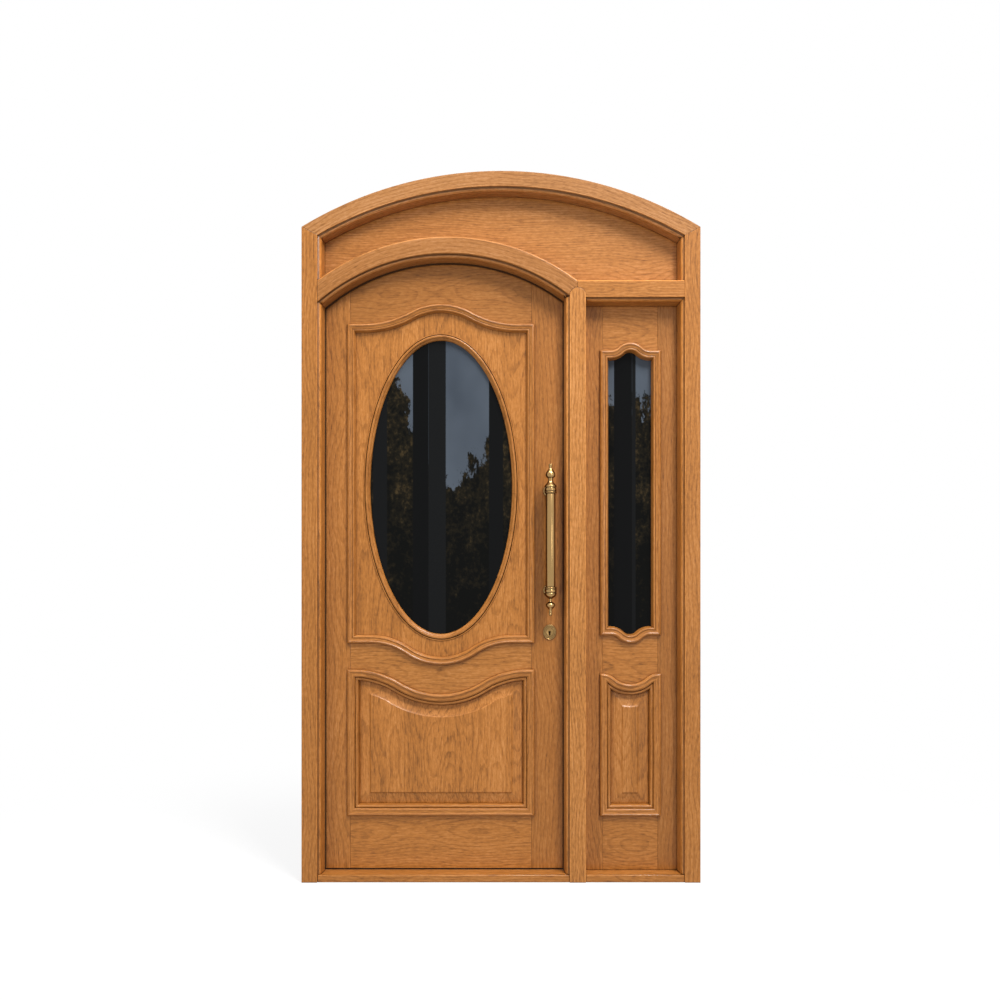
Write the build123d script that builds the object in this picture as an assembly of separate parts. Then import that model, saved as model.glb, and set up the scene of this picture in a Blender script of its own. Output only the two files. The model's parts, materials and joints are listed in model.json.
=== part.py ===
from build123d import *
import os
from math import atan, cos, degrees, hypot, sin, sqrt

# Arched wooden front door set. Millimetres, x from the hinge jamb's wall face to the lock side,
# y from outside to inside with zero at mid depth, z up from the floor.

# Frame
SET_WIDTH = 1477.0
HEAD_CROWN = 2635.0
HEAD_RISE = 207.0
FRAME_DEPTH = 110.0
JAMB_FACE = 58.0
HEAD_FACE = 56.0
MULLION_FACE = 60.0
MULLION_SHARE = 0.6926
TRANSOM_FACE = 63.0
DOOR_ARCH_DROP = 305.0
RAIL_DROP = 162.0
DOOR_ARCH_RADIUS = 735.0
SILL_HEIGHT = 28.0
SILL_SETBACK = 4.0
SILL_NOSE_RADIUS = 5.0
FACE_ARRIS = 4.0

# Moulded inner edge of the frame
BEAD_QUIRK = 7.0
BEAD_WIDTH = 13.0
BEAD_DEPTH = 11.0
REVEAL_SPLAY = 5.0
STOP_LAP = 12.0
SIDELIGHT_LAP = 16.0

# Leaf and its running gaps
LEAF_THICKNESS = 45.0
SEAL_GAP = 5.0
EDGE_GAP = 5.0
HINGE_STILE = 107.0
LOCK_STILE = 133.5
SIDELIGHT_STILE = 84.5
FIT_CLEARANCE = 0.4

# Planted mouldings
MOULDING_LAP = 11.5
MOULDING_PROUD = 14.0
UPPER_MOULDING_WIDTH = 31.0
PANEL_MOULDING_WIDTH = 43.0
GLAZING_MOULDING_WIDTH = 34.0
PANEL_BEAD_WIDTH = 14.0
MITRE_GAP = 0.2

# Shaped panel edges: level of the corners, height of the wave, shoulder before it, share of the foot curve
UPPER_TOP_DROP = 246.5
UPPER_TOP_WAVE = 75.0
UPPER_TOP_SHOULDER = 62.5
UPPER_TOP_SHARE = 0.60
UPPER_BOTTOM = 881.0
UPPER_BOTTOM_WAVE = 82.0
UPPER_BOTTOM_SHOULDER = 87.5
UPPER_BOTTOM_SHARE = 0.50
LOWER_TOP = 783.0
LOWER_TOP_WAVE = 93.5
LOWER_TOP_SHOULDER = 23.0
LOWER_TOP_SHARE = 0.54
LOWER_BOTTOM = 231.5
SIDE_GLASS_DROP = 185.0
SIDE_GLASS_BOTTOM = 910.5
SIDE_GLASS_WAVE = 30.0
SIDE_GLASS_SHOULDER = 41.0
SIDE_GLASS_SHARE = 0.38
SIDE_PANEL_TOP = 768.0
SIDE_PANEL_WAVE = 39.5
SIDE_PANEL_SHOULDER = 10.5
SIDE_PANEL_SHARE = 0.42

# Panels and glass
UPPER_PANEL_RECESS = 6.0
PANEL_EDGE_RECESS = 14.0
PANEL_FIELD_RECESS = 2.0
FIELD_STEP = 4.0
FIELD_STEP_WIDTH = 5.0
FIELD_MARGIN = 40.0
GLASS_THICKNESS = 8.0
GLASS_EDGE_COVER = 8.0
OVAL_LOWERING = 12.0
OVAL_SIDE_MARGIN = 67.75
OVAL_END_MARGIN = 29.0
OVAL_BEAD_LAP = 8.0
OVAL_BEAD_WIDTH = 25.0
OVAL_BEAD_PROUD = 6.0
TRANSOM_PANEL_THICKNESS = 20.0
TRANSOM_BEAD_WIDTH = 15.0
TRANSOM_BEAD_DEPTH = 18.0

# Pull handle
HANDLE_BACKSET = 65.0
HANDLE_STANDOFF = 60.0
UPPER_COLLAR = 1455.0
LOWER_COLLAR = 1081.0
COLLAR_RADIUS = 23.0
COLLAR_HEIGHT = 20.0
COLLAR_RING = 3.0
GRIP_RADIUS = 18.0
GRIP_WALL = 2.5
STEM_RADIUS = 10.0
ROSE_RADIUS = 24.0
ROSE_THICKNESS = 6.0
FINIAL_BULB_RADIUS = 18.0
UPPER_FINIAL_HEIGHT = 84.0
LOWER_FINIAL_HEIGHT = 80.0
CAP_HEIGHT = 8.0

# Lock
KEYHOLE_HEIGHT = 923.0
ESCUTCHEON_HALF_WIDTH = 24.5
ESCUTCHEON_HALF_HEIGHT = 28.5
ESCUTCHEON_THICKNESS = 4.0
ESCUTCHEON_RIM = 5.0
ESCUTCHEON_DISH = 1.2
KEYHOLE_RADIUS = 4.25
KEYHOLE_SLOT = 5.0
KEYHOLE_DROP = 13.0
LOCK_PLATE_WIDTH = 20.0
LOCK_PLATE_HEIGHT = 235.0
LOCK_PLATE_THICKNESS = 3.0

# Hinges
HINGE_HEIGHTS = (260.0, 1120.0)
HINGE_TOP_DROP = 216.0
HINGE_LENGTH = 110.0
HINGE_KNUCKLES = 5
HINGE_PLATE = 1.9
HINGE_PLATE_DEPTH = 36.0
KNUCKLE_RADIUS = 7.0
KNUCKLE_AIR = 0.5
KNUCKLE_PLAY = 0.3
PIN_RADIUS = 4.0
PIN_CLEARANCE = 0.08

# Places worked out from the sizes above
FRONT = -FRAME_DEPTH / 2
BACK = FRAME_DEPTH / 2
STOP_DEPTH = FRAME_DEPTH - LEAF_THICKNESS - SEAL_GAP
STOP_Y = FRONT + STOP_DEPTH
STICKING = BEAD_WIDTH + REVEAL_SPLAY
LEAF_REBATE = STOP_LAP + EDGE_GAP
LEAF_FRONT = BACK - LEAF_THICKNESS
SIDE_FRONT = STOP_Y
SIDE_BACK = SIDE_FRONT + LEAF_THICKNESS
MULLION_CENTRE = SET_WIDTH * MULLION_SHARE
MULLION_LEFT = MULLION_CENTRE - MULLION_FACE / 2
MULLION_RIGHT = MULLION_CENTRE + MULLION_FACE / 2
LEAF_LEFT = JAMB_FACE + STICKING - STOP_LAP
LEAF_RIGHT = MULLION_LEFT - STICKING + STOP_LAP
LEAF_BOTTOM = SILL_HEIGHT + EDGE_GAP
SIDE_LEFT = MULLION_RIGHT - SIDELIGHT_LAP
SIDE_RIGHT = SET_WIDTH - JAMB_FACE - STICKING + STOP_LAP
DOOR_ARCH_CROWN = HEAD_CROWN - DOOR_ARCH_DROP
RAIL_UNDERSIDE = DOOR_ARCH_CROWN - RAIL_DROP
SIDE_TOP = RAIL_UNDERSIDE - STICKING + STOP_LAP
RAIL_TOP = RAIL_UNDERSIDE + TRANSOM_FACE
HALF_WIDTH = SET_WIDTH / 2
HEAD_SPRING = HEAD_CROWN - HEAD_RISE
HEAD_RADIUS = (HALF_WIDTH ** 2 + HEAD_RISE ** 2) / (2 * HEAD_RISE)
HEAD_CENTRE = HEAD_CROWN - HEAD_RADIUS
DOOR_ARCH_X = (JAMB_FACE + MULLION_CENTRE) / 2
DOOR_ARCH_Z = DOOR_ARCH_CROWN - DOOR_ARCH_RADIUS
DOOR_ARCH_OUTER = DOOR_ARCH_RADIUS + TRANSOM_FACE
LEAF_TOP_RADIUS = DOOR_ARCH_RADIUS - STICKING + STOP_LAP
LEAF_HINGE_TOP = DOOR_ARCH_Z + sqrt(LEAF_TOP_RADIUS ** 2 - (DOOR_ARCH_X - LEAF_LEFT) ** 2)
ARCH_JOINT_X = DOOR_ARCH_X + sqrt(DOOR_ARCH_OUTER ** 2 - (RAIL_TOP - DOOR_ARCH_Z) ** 2)
HINGES = HINGE_HEIGHTS + (LEAF_HINGE_TOP - HINGE_TOP_DROP,)
HINGE_X = LEAF_LEFT - EDGE_GAP / 2
HINGE_Y = BACK + KNUCKLE_RADIUS + KNUCKLE_AIR
HANDLE_X = LEAF_RIGHT - HANDLE_BACKSET
HANDLE_Y = LEAF_FRONT - HANDLE_STANDOFF
UPPER_TOP = DOOR_ARCH_CROWN - UPPER_TOP_DROP
SIDE_GLASS_TOP = RAIL_UNDERSIDE - SIDE_GLASS_DROP
LEAF_MIDDLE = LEAF_FRONT + LEAF_THICKNESS / 2
SIDE_MIDDLE = SIDE_FRONT + LEAF_THICKNESS / 2
OVER = 10.0


def slab(drawing, front, back):
    """Solid from an elevation drawn with x across and y up, between two depths."""
    plane = Plane((0, front, 0), x_dir=(1, 0, 0), z_dir=(0, -1, 0))
    return extrude(plane * drawing, back - front, dir=(0, 1, 0))


def box(x0, x1, y0, y1, z0, z1):
    """Plain block between corner values."""
    return Pos((x0 + x1) / 2, (y0 + y1) / 2, (z0 + z1) / 2) * Box(x1 - x0, y1 - y0, z1 - z0)


def polygon(*points):
    """Face from corner points in order."""
    return make_face(Polyline(*points, close=True))


def disc(x, z, radius):
    """Round face in the elevation."""
    return Pos(x, z) * Circle(radius)


def lathe(points):
    """Turned solid about the upright axis from radius and height pairs."""
    profile = Plane.XZ * polygon(*points)
    return revolve(profile, Axis.Z)


def arc(centre, start, end):
    """Arc round a centre by the short way between two points."""
    radius = hypot(start[0] - centre[0], start[1] - centre[1])
    mid_x = (start[0] + end[0]) / 2 - centre[0]
    mid_z = (start[1] + end[1]) / 2 - centre[1]
    scale = radius / hypot(mid_x, mid_z)
    middle = (centre[0] + mid_x * scale, centre[1] + mid_z * scale)
    return ThreePointArc(start, middle, end)


class Edge2:
    """Shaped edge of a panel: level shoulders, then a reverse curve to a crown half way along."""

    def __init__(self, left, right, level, outward, wave=0.0, bulge=1, shoulder=0.0, share=0.5):
        self.left = left
        self.right = right
        self.level = level
        self.outward = outward
        self.wave = wave
        self.bulge = bulge
        self.shoulder = shoulder
        self.middle = (left + right) / 2
        if wave:
            run = self.middle - left - shoulder
            self.turn = 2 * atan(wave / run)
            total = run / sin(self.turn)
            self.foot = total * share
            self.crown = total - self.foot

    def place(self, x, height):
        return (x, self.level + self.outward * height)

    def mirror(self, point):
        return (2 * self.middle - point[0], point[1])

    def join(self, inset):
        radius = self.foot + self.bulge * inset
        height = self.bulge * (self.foot - radius * cos(self.turn))
        return self.left + self.shoulder + radius * sin(self.turn), height

    def start(self, inset):
        """Corner point of the edge moved in by an inset, on the mitre."""
        x = self.left + inset
        if not self.wave or inset <= self.shoulder:
            return x, -inset
        if x < self.join(inset)[0]:
            radius = self.foot + self.bulge * inset
            away = x - self.left - self.shoulder
            return x, self.bulge * (self.foot - sqrt(radius ** 2 - away ** 2))
        radius = self.crown - self.bulge * inset
        away = self.middle - x
        return x, self.bulge * (self.wave - self.crown + sqrt(radius ** 2 - away ** 2))

    def runs(self, inset):
        """Lines and arcs from the left corner to the right corner."""
        start = self.place(*self.start(inset))
        if not self.wave:
            return [Line(start, self.mirror(start))]
        foot_x = self.left + self.shoulder
        foot_centre = self.place(foot_x, self.bulge * self.foot)
        crown_centre = self.place(self.middle, self.bulge * (self.wave - self.crown))
        crown = self.place(self.middle, self.bulge * self.wave - inset)
        join = self.place(*self.join(inset))
        before = []
        after = []
        here = start
        if inset < self.shoulder:
            level = self.place(foot_x, -inset)
            before.append(Line(start, level))
            after.append(Line(self.mirror(level), self.mirror(start)))
            here = level
        if here[0] < join[0] - 0.01:
            other = self.mirror(foot_centre)
            before.append(arc(foot_centre, here, join))
            after.insert(0, arc(other, self.mirror(join), self.mirror(here)))
            here = join
        return before + [arc(crown_centre, here, crown), arc(crown_centre, crown, self.mirror(here))] + after

    def mitre(self, width):
        """Points of the corner mitre from the outer corner inwards."""
        steps = 6
        return [self.place(*self.start(width * i / steps)) for i in range(steps + 1)]


class Outline:
    """Panel outline with a shaped or straight top and bottom edge."""

    def __init__(self, left, right, top, bottom):
        self.left = left
        self.right = right
        self.top = top
        self.bottom = bottom

    def face(self, inset):
        top = self.top.runs(inset)
        bottom = self.bottom.runs(inset)
        left = Line(bottom[0] @ 0, top[0] @ 0)
        right = Line(bottom[-1] @ 1, top[-1] @ 1)
        return make_face(Curve() + top + bottom + [left, right])

    def side_region(self, width):
        """Area of the left upright moulding between its two mitres, open past the outer edge."""
        high = (self.left - OVER, self.top.level + OVER)
        low = (self.left - OVER, self.bottom.level - OVER)
        return polygon(high, *self.top.mitre(width), *reversed(self.bottom.mitre(width)), low)


UPPER_LEFT = LEAF_LEFT + HINGE_STILE - MOULDING_LAP
UPPER_RIGHT = LEAF_RIGHT - LOCK_STILE + MOULDING_LAP
LEAF_PANEL_X = (UPPER_LEFT + UPPER_RIGHT) / 2
OVAL_CENTRE = (UPPER_TOP + UPPER_BOTTOM) / 2 - OVAL_LOWERING
OVAL_HALF_WIDTH = (UPPER_RIGHT - UPPER_LEFT) / 2 - OVAL_SIDE_MARGIN
OVAL_HALF_HEIGHT = (UPPER_TOP - UPPER_BOTTOM) / 2 - OVAL_END_MARGIN
SIDE_GLASS_LEFT = SIDE_LEFT + SIDELIGHT_STILE - MOULDING_LAP
SIDE_GLASS_RIGHT = SIDE_RIGHT - SIDELIGHT_STILE + MOULDING_LAP
UPPER = Outline(
    UPPER_LEFT,
    UPPER_RIGHT,
    Edge2(UPPER_LEFT, UPPER_RIGHT, UPPER_TOP, 1, UPPER_TOP_WAVE, 1, UPPER_TOP_SHOULDER, UPPER_TOP_SHARE),
    Edge2(UPPER_LEFT, UPPER_RIGHT, UPPER_BOTTOM, -1, UPPER_BOTTOM_WAVE, 1,
          UPPER_BOTTOM_SHOULDER, UPPER_BOTTOM_SHARE),
)
LOWER = Outline(
    UPPER_LEFT,
    UPPER_RIGHT,
    Edge2(UPPER_LEFT, UPPER_RIGHT, LOWER_TOP, 1, LOWER_TOP_WAVE, -1, LOWER_TOP_SHOULDER, LOWER_TOP_SHARE),
    Edge2(UPPER_LEFT, UPPER_RIGHT, LOWER_BOTTOM, -1),
)
SIDE_GLASS = Outline(
    SIDE_GLASS_LEFT,
    SIDE_GLASS_RIGHT,
    Edge2(SIDE_GLASS_LEFT, SIDE_GLASS_RIGHT, SIDE_GLASS_TOP, 1, SIDE_GLASS_WAVE, 1,
          SIDE_GLASS_SHOULDER, SIDE_GLASS_SHARE),
    Edge2(SIDE_GLASS_LEFT, SIDE_GLASS_RIGHT, SIDE_GLASS_BOTTOM, -1, SIDE_GLASS_WAVE, 1,
          SIDE_GLASS_SHOULDER, SIDE_GLASS_SHARE),
)
SIDE_PANEL = Outline(
    SIDE_GLASS_LEFT,
    SIDE_GLASS_RIGHT,
    Edge2(SIDE_GLASS_LEFT, SIDE_GLASS_RIGHT, SIDE_PANEL_TOP, 1, SIDE_PANEL_WAVE, -1,
          SIDE_PANEL_SHOULDER, SIDE_PANEL_SHARE),
    Edge2(SIDE_GLASS_LEFT, SIDE_GLASS_RIGHT, LOWER_BOTTOM, -1),
)


def frame_section(face, rebate, far_rebate=0.0, arris=0.0):
    """Section of a frame member: x from its far side to the opening, y from front to back."""
    edge = face + STICKING
    bead_end = (face + BEAD_WIDTH, FRONT + BEAD_QUIRK + BEAD_DEPTH)
    step = (face, FRONT + BEAD_QUIRK)
    front = [(arris, FRONT), (face, FRONT), step]
    back = [bead_end, (edge, STOP_Y), (edge - rebate, STOP_Y), (edge - rebate, BACK), (far_rebate, BACK)]
    if far_rebate:
        back += [(far_rebate, STOP_Y), (0, STOP_Y)]
    if arris:
        back.append((0, FRONT + arris))
    ovolo = TangentArc(step, bead_end, tangent=(1, 0))
    return make_face(Curve() + [Polyline(*front), ovolo, Polyline(*back), Line(back[-1], front[0])])


def arch(section, radius, x, z):
    """Half ring turned from a frame section about a level axis through the arch centre."""
    profile = Pos(radius, 0, 0) * mirror(section, Plane.YZ)
    ring = revolve(profile, Axis((0, 0, 0), (0, -1, 0)), 180)
    return Pos(x, 0, z) * ring


def head_inner_corner():
    """Point where the jamb's and the head's inner face edges meet."""
    inner = HEAD_RADIUS - HEAD_FACE
    return JAMB_FACE, HEAD_CENTRE + sqrt(inner ** 2 - (HALF_WIDTH - JAMB_FACE) ** 2)


def head_mitre(x):
    """Height of the mitre between hinge jamb and head at a distance from the wall face."""
    corner_x, corner_z = head_inner_corner()
    return HEAD_SPRING + (corner_z - HEAD_SPRING) * x / corner_x


def make_hinge_jamb():
    reach = JAMB_FACE + STICKING
    post = extrude(frame_section(JAMB_FACE, LEAF_REBATE), HEAD_CROWN, dir=(0, 0, 1))
    keep = polygon((0, 0), (0, HEAD_SPRING), (reach, head_mitre(reach)), (reach, 0))
    return post & slab(keep, FRONT, BACK)


def make_sidelight_jamb():
    reach = JAMB_FACE + STICKING
    post = extrude(frame_section(JAMB_FACE, STOP_LAP), HEAD_CROWN, dir=(0, 0, 1))
    keep = polygon((0, 0), (0, HEAD_SPRING), (reach, head_mitre(reach)), (reach, 0))
    return mirror(post & slab(keep, FRONT, BACK), Plane.YZ.offset(HALF_WIDTH))


def make_head_arch():
    reach = JAMB_FACE + STICKING
    ring = arch(frame_section(HEAD_FACE, STOP_LAP), HEAD_RADIUS, HALF_WIDTH, HEAD_CENTRE)
    keep = polygon(
        (reach, head_mitre(reach)),
        (0, HEAD_SPRING),
        (0, HEAD_CROWN + OVER),
        (SET_WIDTH, HEAD_CROWN + OVER),
        (SET_WIDTH, HEAD_SPRING),
        (SET_WIDTH - reach, head_mitre(reach)),
    )
    return ring & slab(keep, FRONT, BACK)


def make_mullion():
    section = Pos(MULLION_RIGHT, 0, 0) * mirror(
        frame_section(MULLION_FACE, LEAF_REBATE, SIDELIGHT_LAP), Plane.YZ)
    away = MULLION_LEFT - DOOR_ARCH_X
    shoulder = DOOR_ARCH_Z + sqrt(DOOR_ARCH_RADIUS ** 2 - away ** 2)
    post = extrude(section, shoulder, dir=(0, 0, 1))
    head = slab(disc(MULLION_CENTRE, shoulder, MULLION_FACE / 2), FRONT, STOP_Y)
    return post + head


def make_door_arch(jamb, mullion):
    section = frame_section(TRANSOM_FACE, LEAF_REBATE, STOP_LAP, FACE_ARRIS)
    ring = arch(section, DOOR_ARCH_OUTER, DOOR_ARCH_X, DOOR_ARCH_Z)
    keep = box(JAMB_FACE - LEAF_REBATE, ARCH_JOINT_X, FRONT, BACK, DOOR_ARCH_Z, HEAD_CROWN)
    return (ring & keep) - jamb - mullion


def make_sidelight_head_rail(jamb, mullion):
    section = frame_section(TRANSOM_FACE, STOP_LAP, STOP_LAP, FACE_ARRIS)
    plane = Plane((ARCH_JOINT_X, 0, RAIL_TOP), x_dir=(0, 0, -1), z_dir=(1, 0, 0))
    rail = extrude(plane * section, SET_WIDTH - JAMB_FACE + STOP_LAP - ARCH_JOINT_X, dir=(1, 0, 0))
    return rail - jamb - mullion


def make_sill(left, right, neighbours):
    block = box(left, right, FRONT + SILL_SETBACK, BACK, 0, SILL_HEIGHT)
    nose = block.edges().filter_by(Axis.X).sort_by(lambda e: e.center().Z - e.center().Y)[-1]
    sill = fillet(nose, SILL_NOSE_RADIUS)
    for piece in neighbours:
        sill = sill - piece
    return sill


def transom_face(inset):
    """Transom panel outline inside the rebates, moved in by an inset."""
    left = JAMB_FACE + STICKING - LEAF_REBATE + inset
    right = SIDE_RIGHT - inset
    low = DOOR_ARCH_Z
    head = disc(HALF_WIDTH, HEAD_CENTRE, HEAD_RADIUS - HEAD_FACE - STICKING + STOP_LAP - inset)
    arch_hole = disc(DOOR_ARCH_X, DOOR_ARCH_Z, DOOR_ARCH_OUTER - STOP_LAP + inset)
    window = polygon((left, low), (left, HEAD_CROWN), (right, HEAD_CROWN), (right, low))
    rail_top = RAIL_TOP - STOP_LAP + inset
    below = polygon((DOOR_ARCH_X, low - OVER), (DOOR_ARCH_X, rail_top),
                    (SET_WIDTH, rail_top), (SET_WIDTH, low - OVER))
    left_foot = polygon((0, low - OVER), (0, DOOR_ARCH_Z + OVER), (DOOR_ARCH_X, DOOR_ARCH_Z + OVER),
                        (DOOR_ARCH_X, low - OVER))
    return (window & head) - arch_hole - below - left_foot


def make_transom_panel():
    return slab(transom_face(FIT_CLEARANCE), STOP_Y, STOP_Y + TRANSOM_PANEL_THICKNESS)


def make_transom_bead():
    front = STOP_Y + TRANSOM_PANEL_THICKNESS
    outer = slab(transom_face(FIT_CLEARANCE), front, front + TRANSOM_BEAD_DEPTH)
    return outer - slab(transom_face(STOP_LAP + TRANSOM_BEAD_WIDTH), front, front + TRANSOM_BEAD_DEPTH)


def leaf_area():
    """Whole leaf elevation with its arched top."""
    block = polygon((LEAF_LEFT, LEAF_BOTTOM), (LEAF_LEFT, HEAD_CROWN),
                    (LEAF_RIGHT, HEAD_CROWN), (LEAF_RIGHT, LEAF_BOTTOM))
    low = polygon((LEAF_LEFT, LEAF_BOTTOM), (LEAF_LEFT, DOOR_ARCH_Z),
                  (LEAF_RIGHT, DOOR_ARCH_Z), (LEAF_RIGHT, LEAF_BOTTOM))
    return (block & disc(DOOR_ARCH_X, DOOR_ARCH_Z, LEAF_TOP_RADIUS)) + low


def strip(x0, x1, z0, z1):
    """Plain upright face between corner values."""
    return polygon((x0, z0), (x0, z1), (x1, z1), (x1, z0))


def make_boards(area, openings, left, right, front, levels):
    """Two stiles and three rails cut from one elevation round two openings."""
    back = front + LEAF_THICKNESS
    low, middle, top = levels
    left_stile = slab(area & strip(left - HALF_WIDTH, left, 0, HEAD_CROWN), front, back)
    right_stile = slab(area & strip(right, right + HALF_WIDTH, 0, HEAD_CROWN), front, back)
    between = area & strip(left, right, 0, HEAD_CROWN)
    for opening in openings:
        between = between - opening.face(MOULDING_LAP)
    top_rail = slab(between & strip(left, right, top, HEAD_CROWN), front, back)
    middle_rail = slab(between & strip(left, right, middle, top), front, back)
    bottom_rail = slab(between & strip(left, right, 0, low), front, back)
    return left_stile, right_stile, top_rail, middle_rail, bottom_rail


def moulding_section(width, seat, inner):
    """Planted moulding: roll, hollow and shoulder, seated on the frame and lipped over the panel."""
    p = MOULDING_PROUD
    lip = MOULDING_LAP + FIT_CLEARANCE
    roll = ThreePointArc((0, 0.22 * p), (0.06 * width, 0.74 * p), (0.25 * width, p))
    hollow = ThreePointArc((0.25 * width, p), (0.40 * width, 0.79 * p), (0.56 * width, 0.72 * p))
    shoulder = ThreePointArc((0.56 * width, 0.72 * p), (0.76 * width, 0.70 * p), (0.88 * width, 0.42 * p))
    base = [(width, inner), (width, seat), (lip, seat), (lip, 0), (0, 0), (0, 0.22 * p)]
    return make_face(Curve() + [roll, hollow, shoulder, Line((0.88 * width, 0.42 * p), base[0]),
                                Polyline(*base)])


def panel_moulding_section():
    """Wider planted moulding with a second bead next to the panel."""
    p = MOULDING_PROUD
    main = PANEL_MOULDING_WIDTH - PANEL_BEAD_WIDTH
    end = PANEL_MOULDING_WIDTH
    lip = MOULDING_LAP + FIT_CLEARANCE
    roll = ThreePointArc((0, 0.22 * p), (0.06 * main, 0.74 * p), (0.28 * main, p))
    hollow = ThreePointArc((0.28 * main, p), (0.46 * main, 0.80 * p), (0.64 * main, 0.76 * p))
    shoulder = ThreePointArc((0.64 * main, 0.76 * p), (0.88 * main, 0.70 * p), (main, 0.36 * p))
    quirk = (main, 0.02 * p)
    bead = ThreePointArc(quirk, (main + 0.45 * PANEL_BEAD_WIDTH, 0.24 * p), (end - 2, -0.18 * p))
    base = [(end - 2, -0.18 * p), (end, -PANEL_EDGE_RECESS), (lip, -PANEL_EDGE_RECESS), (lip, 0), (0, 0),
            (0, 0.22 * p)]
    return make_face(Curve() + [roll, hollow, shoulder, Line((main, 0.36 * p), quirk), bead,
                                Polyline(*base)])


def moulding_run(run, section, front, outward):
    """Moulding along one line or arc of a shaped edge."""
    start = run @ 0
    along = run % 0
    inward = (along.Y * outward, 0, -along.X * outward)
    plane = Plane((start.X, front, start.Y), x_dir=inward, z_dir=Vector(inward).cross(Vector(0, -1, 0)))
    if run.geom_type == GeomType.LINE:
        return extrude(plane * section, run.length, dir=(along.X, 0, along.Y))
    centre = run.arc_center
    arm = start - centre
    sense = 1 if arm.Y * along.X > arm.X * along.Y else -1
    axis = Axis((centre.X, front, centre.Y), (0, sense, 0))
    return revolve(plane * section, axis, degrees(run.length / run.radius))


def make_moulding(outline, section, width, front):
    """One mitred moulding frame planted on the outside face."""
    low = outline.bottom.level
    high = outline.top.level
    upright = Plane((outline.left, front, low), x_dir=(1, 0, 0), z_dir=(0, 0, -1))
    region = slab(outline.side_region(width + 1), front - FRAME_DEPTH, front + FRAME_DEPTH)
    left = extrude(upright * section, high - low, dir=(0, 0, 1)) & region
    about = Plane.YZ.offset((outline.left + outline.right) / 2)
    cutter = Pos(MITRE_GAP, 0, 0) * region
    lengths = [left, mirror(left, about)]
    for edge in (outline.top, outline.bottom):
        runs = [moulding_run(run, section, front, edge.outward) for run in edge.runs(0)]
        lengths.append((Part() + runs) - cutter - mirror(cutter, about))
    return Part() + lengths


def inside_copy(piece, middle):
    """The same piece on the inside face."""
    return mirror(piece, Plane.XZ.offset(-middle))


def make_fielded_panel(outline, front):
    """Panel with sloping margins and a raised field, bevelled at its edge, on both faces."""
    back = front + LEAF_THICKNESS
    core = slab(outline.face(MOULDING_LAP + FIT_CLEARANCE), front + PANEL_EDGE_RECESS,
                back - PANEL_EDGE_RECESS)
    foot = outline.face(PANEL_MOULDING_WIDTH)
    field = outline.face(PANEL_MOULDING_WIDTH + FIELD_MARGIN)
    plane_low = Plane((0, front + PANEL_EDGE_RECESS, 0), x_dir=(1, 0, 0), z_dir=(0, -1, 0))
    plane_high = Plane((0, front + PANEL_FIELD_RECESS + FIELD_STEP, 0), x_dir=(1, 0, 0), z_dir=(0, -1, 0))
    plane_face = Plane((0, front + PANEL_FIELD_RECESS, 0), x_dir=(1, 0, 0), z_dir=(0, -1, 0))
    flat = outline.face(PANEL_MOULDING_WIDTH + FIELD_MARGIN + FIELD_STEP_WIDTH)
    margin = loft([plane_low * foot, plane_high * field], ruled=True)
    raised = loft([plane_high * field, plane_face * flat], ruled=True)
    outside = margin + raised
    return core + outside + inside_copy(outside, (front + back) / 2)


def oval(grow):
    return Pos(LEAF_PANEL_X, OVAL_CENTRE) * Ellipse(OVAL_HALF_WIDTH + grow, OVAL_HALF_HEIGHT + grow)


def make_oval_panel():
    panel = slab(UPPER.face(MOULDING_LAP + FIT_CLEARANCE), LEAF_FRONT + UPPER_PANEL_RECESS,
                 BACK - UPPER_PANEL_RECESS)
    return panel - slab(oval(0), LEAF_FRONT, BACK)


def make_oval_bead():
    """Bead round the oval glass, lipped over the panel face."""
    face = LEAF_FRONT + UPPER_PANEL_RECESS
    glass = LEAF_MIDDLE - GLASS_THICKNESS / 2
    deep = glass - face
    inner = OVAL_BEAD_WIDTH - OVAL_BEAD_LAP
    high = OVAL_BEAD_PROUD
    lap = -OVAL_BEAD_LAP
    roll = ThreePointArc((lap, 0.4 * high), (lap + 0.12 * OVAL_BEAD_WIDTH, 0.88 * high),
                         (lap + 0.36 * OVAL_BEAD_WIDTH, high))
    ogee = ThreePointArc((lap + 0.36 * OVAL_BEAD_WIDTH, high), (lap + 0.72 * OVAL_BEAD_WIDTH, 0.1 * high),
                         (inner, -0.6 * deep))
    base = [(inner, -0.6 * deep), (inner, -deep), (FIT_CLEARANCE, -deep), (FIT_CLEARANCE, 0), (lap, 0),
            (lap, 0.4 * high)]
    section = make_face(Curve() + [roll, ogee, Polyline(*base)])
    plane = Plane((LEAF_PANEL_X + OVAL_HALF_WIDTH, face, OVAL_CENTRE), x_dir=(-1, 0, 0), z_dir=(0, 0, 1))
    flat = Plane((0, face, 0), x_dir=(1, 0, 0), z_dir=(0, -1, 0))
    return sweep(plane * section, (flat * oval(0)).wire())


def make_oval_glass():
    cover = OVAL_BEAD_LAP + GLASS_EDGE_COVER - OVAL_BEAD_WIDTH
    return slab(oval(cover), LEAF_MIDDLE - GLASS_THICKNESS / 2, LEAF_MIDDLE + GLASS_THICKNESS / 2)


def make_side_glass():
    inset = GLAZING_MOULDING_WIDTH - GLASS_EDGE_COVER
    return slab(SIDE_GLASS.face(inset), SIDE_MIDDLE - GLASS_THICKNESS / 2, SIDE_MIDDLE + GLASS_THICKNESS / 2)


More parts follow.
